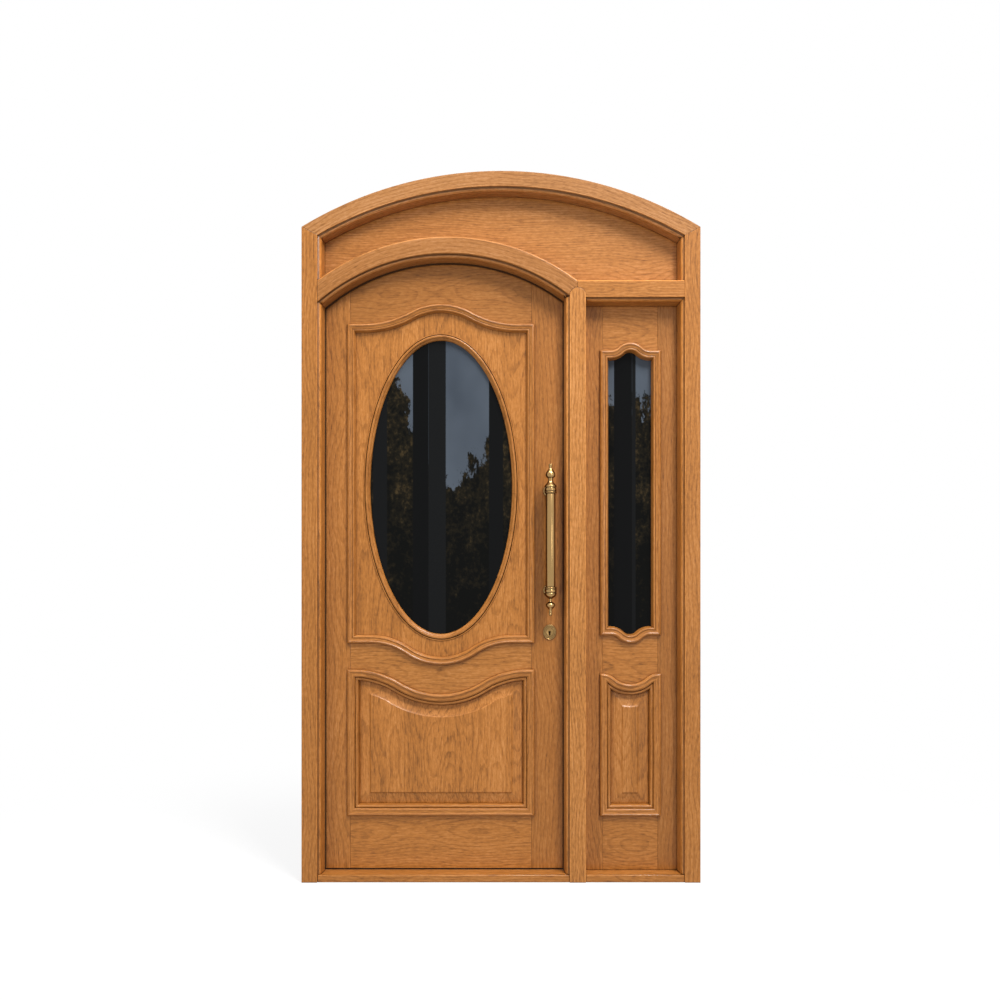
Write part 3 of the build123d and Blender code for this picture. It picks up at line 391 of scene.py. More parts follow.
# Each piece's cast: its own tone with painted light and shade in it, lighter and bluer as painted sheen on
# the mullion, arches and transom, darker as painted shade on the top rail and the stiles beside mullion and
# jamb.
TONES_AND_PAINTED_LIGHT = {"mullion": (1.20, 1.27, 1.50), "sidelight_left_stile": (0.96, 0.96, 0.96),
         "leaf_lock_stile": (0.87, 0.85, 0.80), "leaf_middle_rail": (1.04, 1.07, 1.15),
         "sidelight_right_stile": (0.80, 0.79, 0.76), "leaf_lower_panel": (1.12, 1.12, 1.14),
         "leaf_oval_panel": (1.06, 1.06, 1.04), "leaf_top_rail": (0.86, 0.86, 0.86),
         "transom_panel": (1.02, 1.06, 1.22), "head_arch": (0.96, 1.09, 1.62),
         "door_arch": (0.88, 0.93, 1.18), "leaf_bottom_rail": (1.06, 1.06, 1.06),
         "sidelight_jamb": (1.04, 1.05, 1.08)}


def ease_edges(node):
    """Round the sharp edges of a board."""
    weld = node.modifiers.new("weld", "WELD")
    weld.merge_threshold = 0.00002
    flat = node.modifiers.new("flat", "DECIMATE")
    flat.decimate_type = "DISSOLVE"
    flat.angle_limit = FLAT_ANGLE
    bevel = node.modifiers.new("arris", "BEVEL")
    bevel.width = ARRIS * (ARCH_WEAR if node.name.endswith("door_arch") else 1.0)
    bevel.segments = 2
    bevel.limit_method = "ANGLE"
    bevel.angle_limit = EDGE_ANGLE
    bevel.use_clamp_overlap = False


def board_finish(name, seed):
    """Oak for a board, by the way its grain runs."""
    look = {"tone_and_light": TONES_AND_PAINTED_LIGHT.get(name, PLAIN), "edges": PAINTED_EDGE_BANDS.get(name, ())}
    low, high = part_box(name)
    mid_x, mid_z = (low[0] + high[0]) / 2, (low[2] + high[2]) / 2
    if name in ARCHES:
        return oak("oak_" + name, "arch", seed, 0.20, 0.2, middle=0.09, arch=ARCHES[name], **look)
    if name in STAVES:
        return oak("oak_" + name, "upright", seed, 0.055, 1.1, stave=STAVES[name], **look)
    if any(word in name for word in LEVEL):
        return oak("oak_" + name, "level", seed, 0.060, 1.0, 2.6, mid_z - LEANS.get(name, 0.0), **look)
    return oak("oak_" + name, "upright", seed, 0.17, 0.25, middle=mid_x + 0.10, **look)


def dress(name, seed):
    """Material of a CAD node, by its slot."""
    slot = slots[name]
    if slot == "brass_fittings":
        return BRASS
    if slot == "steel_fittings":
        return STEEL
    if slot == "window_glass":
        return OVAL_PANE if name == "leaf_oval_glass" else SIDE_PANE
    if slot == "oak_boards":
        ease_edges(nodes[name])
    return board_finish(name, seed)


for index, name in enumerate(sorted(nodes)):
    nodes[name].data.materials.clear()
    nodes[name].data.materials.append(dress(name, index + 1.0))
print("dressed", len(nodes), "CAD nodes")

# %% [markdown]
# ## Planted mouldings
# A moulding frame is four lengths that meet in mitres. Each length is a grid: one offset curve for each
# point of the profile, cut where it meets the mitre, so the wave keeps its section right into the corners. A
# sweep would shear the section there. The four grids share their mitre points, so each frame is one closed
# ring, and the grain is kept by face corner, because it turns at the mitre.

# %% Shaped edges
class ShapedEdge:
    """Level shoulders, then a reverse curve to a crown half way along, in millimetres."""

    def __init__(self, left, right, level, outward, wave=0.0, bulge=1, shoulder=0.0, share=0.5):
        self.left, self.right, self.level, self.outward = left, right, level, outward
        self.wave, self.bulge, self.shoulder = wave, bulge, shoulder
        self.middle = (left + right) / 2
        if wave:
            run = self.middle - left - shoulder
            self.turn = 2 * math.atan(wave / run)
            self.foot = run / math.sin(self.turn) * share
            self.crown = run / math.sin(self.turn) - self.foot

    def height(self, x, inset):
        """Height of the edge moved in by an inset, at a place along it."""
        x = self.middle - abs(self.middle - x)
        away = x - self.left - self.shoulder
        if not self.wave or away <= 0:
            return self.level - self.outward * inset
        foot = self.foot + self.bulge * inset
        if away < foot * math.sin(self.turn):
            rise = self.bulge * (self.foot - math.sqrt(foot ** 2 - away ** 2))
        else:
            crown = self.crown - self.bulge * inset
            rise = self.bulge * (self.wave - self.crown + math.sqrt(crown ** 2 - (self.middle - x) ** 2))
        return self.level + self.outward * rise


LEAF_SPAN = (159.5, 864.97)
SIDE_SPAN = (1109.97, 1340.0)
# Top and bottom edge of each moulding frame.
UPPER = (ShapedEdge(*LEAF_SPAN, 2083.5, 1, 75.0, 1, 62.5, 0.60),
         ShapedEdge(*LEAF_SPAN, 881.0, -1, 82.0, 1, 87.5, 0.50))
LOWER = (ShapedEdge(*LEAF_SPAN, 783.0, 1, 93.5, -1, 23.0, 0.54), ShapedEdge(*LEAF_SPAN, 231.5, -1))
GLAZING = (ShapedEdge(*SIDE_SPAN, 1983.0, 1, 30.0, 1, 41.0, 0.38),
           ShapedEdge(*SIDE_SPAN, 910.5, -1, 30.0, 1, 41.0, 0.38))
PANELLED = (ShapedEdge(*SIDE_SPAN, 768.0, 1, 39.5, -1, 10.5, 0.42), ShapedEdge(*SIDE_SPAN, 231.5, -1))
print("shaped edges:", len(UPPER + LOWER + GLAZING + PANELLED))

# %% Profiles
PROUD = 14.0  # height over the board
REBATE = 12.5  # width of the part that lies on the board
SUNK = -1.0  # and its foot, just under the board's face


def three_point(a, b, c, count=7):
    """Points of the arc through three points, without the last."""
    d = 2 * (a[0] * (b[1] - c[1]) + b[0] * (c[1] - a[1]) + c[0] * (a[1] - b[1]))
    sa, sb, sc = (p[0] ** 2 + p[1] ** 2 for p in (a, b, c))
    ox = (sa * (b[1] - c[1]) + sb * (c[1] - a[1]) + sc * (a[1] - b[1])) / d
    oy = (sa * (c[0] - b[0]) + sb * (a[0] - c[0]) + sc * (b[0] - a[0])) / d
    first, last = (math.atan2(p[1] - oy, p[0] - ox) for p in (a, c))
    turn = (last - first + math.pi) % (2 * math.pi) - math.pi
    size = math.hypot(a[0] - ox, a[1] - oy)
    return [(ox + size * math.cos(first + turn * i / count), oy + size * math.sin(first + turn * i / count))
            for i in range(count)]


def upper_profile(width, seat, inner):
    """Roll, hollow and quirked inner bead, from the outer edge inwards."""
    p, w = PROUD, width
    points = [(0, SUNK)]
    points += three_point((0, 0.22 * p), (0.06 * w, 0.74 * p), (0.25 * w, p))
    points += three_point((0.25 * w, p), (0.40 * w, 0.79 * p), (0.56 * w, 0.72 * p))
    points += [(0.60 * w, 0.70 * p), (0.615 * w, 0.58 * p), (0.645 * w, 0.58 * p)]
    points += three_point((0.66 * w, 0.64 * p), (0.76 * w, 0.68 * p), (0.88 * w, 0.40 * p))
    points += [(0.88 * w, 0.40 * p), (0.90 * w, 0.12 * p), (w, inner), (w, seat)]
    return points + [(REBATE, seat), (REBATE, SUNK)]


def lower_profile(width, bead, seat):
    """Roll and hollow, then a separate bead next to the panel."""
    p, m = PROUD, width - bead
    points = [(0, SUNK)]
    points += three_point((0, 0.22 * p), (0.06 * m, 0.74 * p), (0.28 * m, p))
    points += three_point((0.28 * m, p), (0.46 * m, 0.80 * p), (0.64 * m, 0.76 * p))
    points += three_point((0.64 * m, 0.76 * p), (0.88 * m, 0.70 * p), (m, 0.36 * p))
    points += [(m, 0.36 * p)]
    points += three_point((m + 0.4, 0.16 * p), (m + 0.45 * bead, 0.34 * p), (width - 2, -0.16 * p))
    return points + [(width - 2, -0.16 * p), (width, seat), (REBATE, seat), (REBATE, SUNK)]


upper = upper_profile(31.0, -6.0, -3.0)
lower = lower_profile(43.0, 14.0, -14.0)
glazing = upper_profile(34.0, -18.5, -12.0)
print("profile points:", len(upper), len(lower), len(glazing))

# %% Moulding frames
RUN_STEPS = 72
SIDE_STEPS = 4
# Each length is cut from a different place of the board.
NEXT_ALONG, NEXT_ACROSS = 900.0, 300.0


def moulding_rows(top, bottom, profile):
    """Four lengths, each a row of (x, z, along) points for every profile point, in ring order."""
    left, right = top.left, top.right
    lengths = [[], [], [], []]
    for u, v in profile:
        across = [left + u + (right - left - 2 * u) * i / RUN_STEPS for i in range(RUN_STEPS + 1)]
        low = [bottom.height(x, u) for x in (left + u, right - u)]
        high = [top.height(x, u) for x in (left + u, right - u)]
        up = [[a + (b - a) * i / SIDE_STEPS for i in range(SIDE_STEPS + 1)] for a, b in zip(low, high)]
        lengths[0].append([(x, top.height(x, u), x) for x in across])
        lengths[1].append([(right - u, z, z) for z in reversed(up[1])])
        lengths[2].append([(x, bottom.height(x, u), x) for x in reversed(across)])
        lengths[3].append([(left + u, z, z) for z in up[0]])
    return lengths


def new_mesh(name, verts, faces):
    mesh = bpy.data.meshes.new(name)
    mesh.from_pydata(verts, [], faces)
    return mesh


def link_piece(name, mesh, material, body, replaced):
    """Object for a finished mesh, riding on its body in place of a CAD node."""
    mesh.materials.clear()
    mesh.materials.append(material)
    piece = bpy.data.objects.new(name, mesh)
    bpy.context.scene.collection.objects.link(piece)
    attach(piece, body)
    if replaced:
        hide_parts(*replaced)
    return piece


def smooth(mesh, degrees=32):
    """Shade smooth, but keep edges sharper than an angle."""
    mesh.shade_smooth()
    mesh.set_sharp_from_angle(angle=math.radians(degrees))
    mesh.update()


def planted(name, edges, profile, face, out, seed):
    """One planted moulding frame on a face, standing out to the given side."""
    verts, faces, grain, found = [], [], [], {}
    ring = len(profile)

    def point(x, v, z):
        key = (round(x, 4), round(v, 4), round(z, 4))
        if key not in found:
            found[key] = len(verts)
            verts.append((x * MM, (face + out * v) * MM, z * MM))
        return found[key]

    for index, rows in enumerate(moulding_rows(*edges, profile)):
        for r in range(ring):
            (u0, v0), (u1, v1) = profile[r], profile[(r + 1) % ring]
            near, far = rows[r], rows[(r + 1) % ring]
            for c in range(len(near) - 1):
                quad = [(near[c], u0, v0), (near[c + 1], u0, v0), (far[c + 1], u1, v1), (far[c], u1, v1)]
                quad = quad if out > 0 else quad[::-1]
                faces.append([point(p[0], v, p[1]) for p, u, v in quad])
                grain += [((p[2] + NEXT_ALONG * index) * MM, (u + NEXT_ACROSS * index) * MM, v * MM)
                          for p, u, v in quad]
    mesh = new_mesh(name + "_wood", verts, faces)
    layer = mesh.attributes.new("grain", "FLOAT_VECTOR", "CORNER")
    layer.data.foreach_set("vector", [c for g in grain for c in g])
    smooth(mesh)
    body = "leaf" if name.startswith("leaf") else "frame"
    finish = oak("oak_" + name, "run", seed, 0.14, 0.3, shade_reach=0.0045)
    return link_piece(name + "_wood", mesh, finish, body, [name])


# Where the faces lie, and which way their mouldings stand out.
LEAF_FACES = ((10.0, -1, "outside"), (55.0, 1, "inside"))
SIDE_FACES = ((5.0, -1, "outside"), (50.0, 1, "inside"))
made = []
for face, out, side in LEAF_FACES:
    made.append(planted("leaf_upper_moulding_" + side, UPPER, upper, face, out, 61.0))
    made.append(planted("leaf_lower_moulding_" + side, LOWER, lower, face, out, 67.0))
for face, out, side in SIDE_FACES:
    made.append(planted("sidelight_glazing_moulding_" + side, GLAZING, glazing, face, out, 71.0))
    made.append(planted("sidelight_panel_moulding_" + side, PANELLED, lower, face, out, 73.0))
print("moulding frames:", len(made), "faces:", sum(len(o.data.polygons) for o in made))

# %% [markdown]
# ## Oval bead
# The bead round the oval glass is one section that follows an ellipse, which is what Curve to Mesh does. The
# profile comes in as the object's own polyline, the ellipse is made in the tree from its two half sizes, and
# the tree stores the run and the width as the grain attribute.

# %% Geometry Nodes helpers
def new_tree(name, **sizes):
    """Geometry Nodes group with a geometry in and out and named sizes; a default of None is a material."""
    tree = bpy.data.node_groups.new(name, "GeometryNodeTree")
    tree.interface.new_socket("Geometry", in_out="INPUT", socket_type="NodeSocketGeometry")
    tree.interface.new_socket("Geometry", in_out="OUTPUT", socket_type="NodeSocketGeometry")
    for size, default in sizes.items():
        kind = "NodeSocketMaterial" if default is None else "NodeSocketFloat"
        socket = tree.interface.new_socket(size, in_out="INPUT", socket_type=kind)
        if default is not None:
            socket.default_value = default
    given = tree.nodes.new("NodeGroupInput")
    return tree, {socket.name: Sock(tree, socket) for socket in given.outputs if socket.name}


def close_tree(geometry, material):
    """End a tree in Realize Instances and Set Material."""
    whole = geometry.node("GeometryNodeRealizeInstances", Geometry=geometry)
    dressed = whole.node("GeometryNodeSetMaterial", Geometry=whole, Material=material)
    end = geometry.tree.nodes.new("NodeGroupOutput")
    geometry.tree.links.new(dressed.socket, end.inputs[0])


def grown_mesh(name, verts, edges, tree, **sizes):
    """Run a tree over a small mesh and return the plain mesh it makes."""
    seedling = bpy.data.meshes.new(name + "_start")
    seedling.from_pydata(verts, edges, [])
    host = bpy.data.objects.new(name + "_start", seedling)
    bpy.context.scene.collection.objects.link(host)
    modifier = host.modifiers.new("nodes", "NODES")
    modifier.node_group = tree
    keys = {item.name: item.identifier for item in tree.interface.items_tree if item.in_out == "INPUT"}
    for size, value in sizes.items():
        modifier[keys[size]] = value
    graph = bpy.context.evaluated_depsgraph_get()
    mesh = bpy.data.meshes.new_from_object(host.evaluated_get(graph), depsgraph=graph)
    host.modifiers.remove(modifier)
    bpy.data.objects.remove(host)
    bpy.data.meshes.remove(seedling)
    mesh.name = name
    return mesh


print("geometry helpers ready")

# %% Oval bead
def oval_bead_tree():
    """Section along an ellipse that stands in the wall plane; Turn is the side that it faces."""
    tree, given = new_tree("oval_bead", Half_Width=0.2850, Half_Height=0.57225, Centre_X=0.5122,
                           Centre_Z=1.47025, Face_Y=0.016, Turn=1.0, Finish=None)
    start = given["Geometry"]

    def store(geometry, name, value, kind="FLOAT"):
        return start.node("GeometryNodeStoreNamedAttribute", {"data_type": kind, "domain": "POINT"},
                          Geometry=geometry, Name=name, Value=value)

    section = start.node("GeometryNodeMeshToCurve", Mesh=start)
    section = store(section, "across", start.node("GeometryNodeInputPosition").split()[0])
    ring = start.node("GeometryNodeCurvePrimitiveCircle", Resolution=160, Radius=1.0)
    at = start.node("GeometryNodeInputPosition").split()
    ring = start.node("GeometryNodeSetPosition", Geometry=ring, Position=start.vector(
        at[0] * given["Half_Width"], at[1] * given["Half_Height"], 0.0))
    ring = start.node("GeometryNodeSetCurveNormal", {"mode": "Z_UP"}, Curve=ring)
    ring = store(ring, "along", start.node("GeometryNodeSplineParameter", output=1))
    swept = start.node("GeometryNodeCurveToMesh", Curve=ring, Profile_Curve=section)
    across = start.node("GeometryNodeInputNamedAttribute", {"data_type": "FLOAT"}, Name="across")
    along = start.node("GeometryNodeInputNamedAttribute", {"data_type": "FLOAT"}, Name="along")
    swept = store(swept, "grain", start.vector(along, across, 0.0), "FLOAT_VECTOR")
    x, y, z = start.node("GeometryNodeInputPosition").split()
    turned = start.vector(x + given["Centre_X"], given["Face_Y"] - z * given["Turn"], y + given["Centre_Z"])
    close_tree(start.node("GeometryNodeSetPosition", Geometry=swept, Position=turned), given["Finish"])
    return tree


BEAD_SECTION = [(-8.0, -0.6), (-8.0, 2.0), (-7.2, 2.8), (-4.2, 2.8), (-3.8, 2.4), (-3.6, 0.0), (-1.4, 0.0),
                (-1.2, 2.4), (-0.6, 4.4), (1.2, 5.6), (3.4, 6.0), (5.8, 5.5), (7.8, 4.0), (9.0, 2.0),
                (9.4, 0.4), (10.4, -0.6), (12.6, -1.6), (14.6, -3.4), (16.2, -6.0), (17.0, -9.0),
                (17.0, -12.7), (0.6, -12.7), (0.6, -0.6)]
loop = [(i, (i + 1) % len(BEAD_SECTION)) for i in range(len(BEAD_SECTION))]
bead_tree = oval_bead_tree()
for face, turn, side in ((16.0, 1.0, "outside"), (49.0, -1.0, "inside")):
    name = "leaf_oval_bead_" + side
    finish = oak("oak_" + name, "run", 79.0, 0.14, 0.3, shade_reach=0.0045, gloss=0.16)
    mesh = grown_mesh(name + "_wood", [(-u * MM, -v * MM, 0) for u, v in BEAD_SECTION], loop, bead_tree,
                      Face_Y=face * MM, Turn=turn, Finish=finish)
    if turn > 0:
        mesh.flip_normals()
    smooth(mesh)
    bead = link_piece(name + "_wood", mesh, finish, "leaf", [name])
    spans = [[v.co[axis] for v in mesh.vertices] for axis in (0, 1)]
    print(bead.name, len(mesh.polygons), "x and y:", [(round(min(s), 4), round(max(s), 4)) for s in spans])

# %% [markdown]
# ## Pull handle
# The pull is turned brass: finial, collar, grip, collar, finial. Turned work is a profile spun about an
# axis. The profile is smooth in the bulbs and sharp at the rings, so a curve runs through the soft points,
# and a ring is a point given twice.

# %% Turned work
TURN_STEPS = 56
HANDLE_X, HANDLE_Y = 921.97, -50.0
LEAF_FRONT = LEAF_FACES[0][0]


def soft(points, steps=5):
    """Smooth curve through (radius, height) points, stopping at a point that is given twice."""
    out = []
    spans = [[points[0]]]
    for a, b in zip(points, points[1:]):
        if a == b:
            spans.append([b])
        else:
            spans[-1].append(b)
    for span in spans:
        ends = [span[0], *span, span[-1]]
        for p0, p1, p2, p3 in zip(ends, ends[1:], ends[2:], ends[3:]):
            for i in range(steps if len(span) > 2 else 1):
                t = i / steps
                out.append(tuple(0.5 * (2 * b + (c - a) * t + (2 * a - 5 * b + 4 * c - d) * t * t
                                        + (3 * b - a - 3 * c + d) * t ** 3)
                                 for a, b, c, d in zip(p0, p1, p2, p3)))
        out.append(span[-1])
    return out


def spin(profile, place, verts, faces):
    """Closed turned solid from (radius, height) points; place puts (across, deep, height) in the frame."""
    start = len(verts)
    rings = [p for i, p in enumerate(profile) if i == 0 or p != profile[i - 1]]
    for radius, height in rings:
        for i in range(TURN_STEPS):
            angle = 2 * math.pi * i / TURN_STEPS
            verts.append(place(radius * math.cos(angle), radius * math.sin(angle), height))
    for r in range(len(rings) - 1):
        for i in range(TURN_STEPS):
            j = (i + 1) % TURN_STEPS
            a, b = start + r * TURN_STEPS, start + (r + 1) * TURN_STEPS
            faces.append((a + i, a + j, b + j, b + i))
    faces.append(tuple(start + i for i in reversed(range(TURN_STEPS))))
    faces.append(tuple(start + (len(rings) - 1) * TURN_STEPS + i for i in range(TURN_STEPS)))


def upright(x, y, h):
    """Places turned work on the pull's own axis."""
    return ((HANDLE_X + x) * MM, (HANDLE_Y + y) * MM, h * MM)


def toward_leaf(height):
    """Places turned work that stands out from the leaf's face at a height."""
    return lambda x, y, h: ((HANDLE_X + x) * MM, (LEAF_FRONT - h) * MM, (height + y) * MM)


def turned(name, solids, replaced):
    """Brass piece from (profile, place) pairs."""
    verts, faces = [], []
    for profile, place in solids:
        spin(profile, place, verts, faces)
    mesh = new_mesh(name, verts, faces)
    smooth(mesh, 38)
    return link_piece(name, mesh, BRASS, "leaf", replaced)


# Radius and height of each turning: the collar's from its middle, the rose's from the leaf.
UPPER_TURNING = [(21.5, 1468), (21.5, 1468), (20.6, 1471), (15.5, 1477), (10.5, 1484), (8.6, 1490),
                 (9.6, 1495.5), (10.6, 1496.5), (10.6, 1496.5), (10.6, 1498.5), (10.6, 1498.5), (15.6, 1502),
                 (17.8, 1508.5), (17.6, 1515), (14.0, 1522), (9.0, 1529), (6.2, 1534), (5.9, 1539),
                 (6.9, 1544), (6.4, 1549), (3.4, 1551.6), (0.4, 1552)]
LOWER_TURNING = [(0.4, 988), (3.6, 988.8), (5.8, 992), (5.9, 996), (4.9, 998.6), (4.9, 998.6), (6.3, 1001),
                 (6.2, 1004.5), (5.4, 1007.5), (6.4, 1011), (11.0, 1017), (15.6, 1022.5), (17.2, 1028),
                 (15.0, 1033), (10.6, 1037), (7.0, 1039), (7.0, 1039), (5.2, 1042), (4.9, 1048), (5.6, 1051),
                 (5.6, 1051), (8.2, 1052), (8.2, 1052), (14.0, 1057), (19.4, 1063), (21.4, 1068),
                 (21.4, 1068), (21.0, 1068.0)]
COLLAR = [(18.6, -13), (18.6, -13), (20.8, -12.9), (22.4, -11.6), (22.9, -10), (22.4, -8.4), (20.8, -7.2),
          (20.8, -7.2), (18.4, -7.0), (18.4, -7.0), (18.4, -4.8), (18.4, -4.8), (21.2, -4.5), (21.2, -4.5),
          (21.8, -3.6), (21.8, -3.6), (21.8, 5.2), (21.8, 5.2), (21.2, 6.0), (21.2, 6.0), (18.4, 6.3),
          (18.4, 6.3), (18.4, 8.4), (18.4, 8.4), (21.4, 8.8), (22.8, 10.2), (22.7, 11.8), (21.4, 13),
          (21.4, 13), (20.0, 13)]
ROSE = [(24.0, 0), (24.0, 0), (24.0, 3.4), (23.2, 4.8), (21.2, 5.8), (21.2, 5.8), (14.0, 6.0), (11.4, 8.0),
        (10.0, 12.0), (10.0, 12.0), (10.0, 60.0)]
GRIP = [(17.6, 1094), (17.6, 1094), (18.0, 1094.6), (18.0, 1094.6), (18.0, 1441.4), (18.0, 1441.4),
        (17.6, 1442)]
pull = []
for level, z, up in (("upper", 1455.0, 1), ("lower", 1081.0, -1)):
    collar = [(r, z + up * h) for r, h in COLLAR][::up]
    name = "pull_%s_bracket" % level
    pull.append(turned(name + "_brass", [(soft(collar), upright), (soft(ROSE), toward_leaf(z))], [name]))
for name, profile in (("pull_grip", GRIP), ("pull_upper_finial", UPPER_TURNING),
                      ("pull_lower_finial", LOWER_TURNING)):
    pull.append(turned(name + "_brass", [(soft(profile), upright)], [name]))
print("pull pieces:", len(pull), "faces:", sum(len(o.data.polygons) for o in pull))

# %% [markdown]
# ## Keyhole plates
# Each plate is an oval with a rolled rim and shallow turned rings round the keyhole. The rings are ovals
# that shrink toward the keyhole's own outline, so one set of rays from the eye of the keyhole carries them
# all. A lock case inside the leaf stands behind the keyholes, in black rubber that paints the shade seen
# through them, and a black rubber strip under the leaf closes the gap over the sill as a painted shadow
# line. Both are bars with rounded edges.

# %% Keyhole plates
KEY_Z, KEY_R, KEY_HALF, KEY_DROP = 923.0, 4.25, 2.5, 13.0
PLATE_X, PLATE_Z = 24.5, 28.5
RAYS = 96
# Share of the oval and height of each ring, then the same round the keyhole's outline.
PLATE_STEPS = [(1.0, 0.0), (1.0, 2.4), (0.985, 3.4), (0.955, 4.0), (0.91, 4.0), (0.88, 3.4), (0.865, 1.3),
               (0.77, 1.1), (0.755, 1.3), (0.74, 2.9), (0.70, 3.2), (0.66, 2.9), (0.645, 1.3), (0.56, 1.2),
               (0.545, 1.4), (0.53, 2.8), (0.48, 3.1), (0.44, 2.8)]
KEY_STEPS = [(1.25, 2.2), (1.14, 2.7), (1.0, 2.4), (1.0, 0.0)]


def keyhole_reach(angle):
    """Distance from the eye to the keyhole's edge along a ray."""
    c, s = math.cos(angle), math.sin(angle)
    if s >= 0:
        return KEY_R
    side = KEY_HALF / abs(c) if abs(c) > 1e-6 else 1e9
    return max(KEY_R, min(side, KEY_DROP / -s))


def keyhole_plate(side, face, out):
    """Oval plate on one face of the leaf."""
    verts, faces = [], []
    angles = [2 * math.pi * i / RAYS for i in range(RAYS)]
    loops = [[(PLATE_X * k * math.cos(a), PLATE_Z * k * math.sin(a), h) for a in angles]
             for k, h in PLATE_STEPS]
    edge = [(keyhole_reach(a) * math.cos(a), keyhole_reach(a) * math.sin(a)) for a in angles]
    for grow, h in KEY_STEPS:
        loops.append([(x * grow, z * grow, h) for x, z in edge])
    for loop in loops:
        verts += [((HANDLE_X + x) * MM, (face + out * h) * MM, (KEY_Z + z) * MM) for x, z, h in loop]
    count = len(loops)
    for r in range(count):
        for i in range(RAYS):
            j = (i + 1) % RAYS
            a, b = r * RAYS, (r + 1) % count * RAYS
            quad = (a + i, a + j, b + j, b + i)
            faces.append(quad if out < 0 else quad[::-1])
    name = "escutcheon_" + side
    mesh = new_mesh(name + "_brass", verts, faces)
    smooth(mesh, 40)
    return link_piece(name + "_brass", mesh, DULL_BRASS, "leaf", [name])


plates = [keyhole_plate(side, face, out) for face, out, side in LEAF_FACES]
print("keyhole plates:", len(plates), "faces:", sum(len(p.data.polygons) for p in plates))

# %% Rounded bars
BAR_FACES = [(0, 1, 3, 2), (4, 6, 7, 5), (0, 4, 5, 1), (2, 3, 7, 6), (0, 2, 6, 4), (1, 5, 7, 3)]


def bar(name, low, high, round_edge):
    """Black bar on the leaf between two corners, with rounded edges; its black paints the shade of a gap or
    a hole.
    """
    corners = [(x, y, z) for x in (low[0], high[0]) for y in (low[1], high[1]) for z in (low[2], high[2])]
    mesh = new_mesh(name, [tuple(c * MM for c in p) for p in corners], BAR_FACES)
    piece = link_piece(name, mesh, SHADE_BLACK_RUBBER, "leaf", None)
    bevel = piece.modifiers.new("round", "BEVEL")
    bevel.width = round_edge * MM
    bevel.segments = 3
    return piece


CASE_HALF = 11
# painted shade: black bars behind the keyholes and in the gap under the leaf
bar("lock_case", (HANDLE_X - CASE_HALF, 22.0, 905.0), (HANDLE_X + CASE_HALF, 43.0, 935.0), 0.8)
bar("leaf_bottom_seal_shadow_strip", (66.0, 13.0, 29.8), (985.0, 20.0, 33.0), 0.6)
print("lock case and bottom seal made")

# %% [markdown]
# ## Weather seal
# A brown rubber seal lies behind the stops, between frame and leaf; its dark brown stands in for the shade
# in the gap round the leaf, as a painted shadow line.
# It is one section that follows the stops up the jamb, round the arch and down the mullion, so it is swept
# along that path by Curve to Mesh too. It stops just short of the leaf.

# %% Weather seal
def seal_tree():
    """Round-cornered strip along a path; the object's own polyline is the path."""
    tree, given = new_tree("weather_seal", Width=0.010, Depth=0.0042, Finish=None)
    start = given["Geometry"]
    path = start.node("GeometryNodeMeshToCurve", Mesh=start)
    strip = start.node("GeometryNodeCurvePrimitiveQuadrilateral", Width=given["Width"],
                       Height=given["Depth"])
    strip = start.node("GeometryNodeFilletCurve", {"mode": "POLY"}, Curve=strip, Count=3, Radius=0.0012)
    path = start.node("GeometryNodeSetCurveNormal", {"mode": "MINIMUM_TWIST"}, Curve=path)
    swept = start.node("GeometryNodeCurveToMesh", Curve=path, Profile_Curve=strip, Fill_Caps=True)
    close_tree(swept, given["Finish"])
    return tree


SEAL_Y, SEAL_LEFT, SEAL_RIGHT, SEAL_FOOT = 7.2, 75.0, 975.97, 36.0
SEAL_RADIUS, ARCH_X, ARCH_Z, ARCH_STEPS = 718.0, 540.5, 1595.0, 64
turn_left = math.asin((SEAL_LEFT - ARCH_X) / SEAL_RADIUS)
turn_right = math.asin((SEAL_RIGHT - ARCH_X) / SEAL_RADIUS)
seal_path = [(SEAL_LEFT, SEAL_FOOT)]
for i in range(ARCH_STEPS + 1):
    angle = turn_left + (turn_right - turn_left) * i / ARCH_STEPS
    seal_path.append((ARCH_X + SEAL_RADIUS * math.sin(angle), ARCH_Z + SEAL_RADIUS * math.cos(angle)))
seal_path.append((SEAL_RIGHT, SEAL_FOOT))
chain = [(i, i + 1) for i in range(len(seal_path) - 1)]
# painted shadow: the seal's dark brown draws the shadow line round the leaf
mesh = grown_mesh("door_weather_seal", [(x * MM, SEAL_Y * MM, z * MM) for x, z in seal_path], chain,
                  seal_tree(), Finish=SHADOW_LINE_RUBBER)
smooth(mesh, 40)
seal = link_piece("door_weather_seal", mesh, SHADOW_LINE_RUBBER, "frame", None)
reach = [v.co.y for v in mesh.vertices]
print(seal.name, len(mesh.polygons), "y", round(min(reach), 4), round(max(reach), 4))

# %% [markdown]
# ## Screws
# Countersunk slotted screws hold the hinge plates, the lock's fore-end and the strike plate. They repeat, so
# one tree puts a head on every point it is given. The head is a short cylinder less a slot.

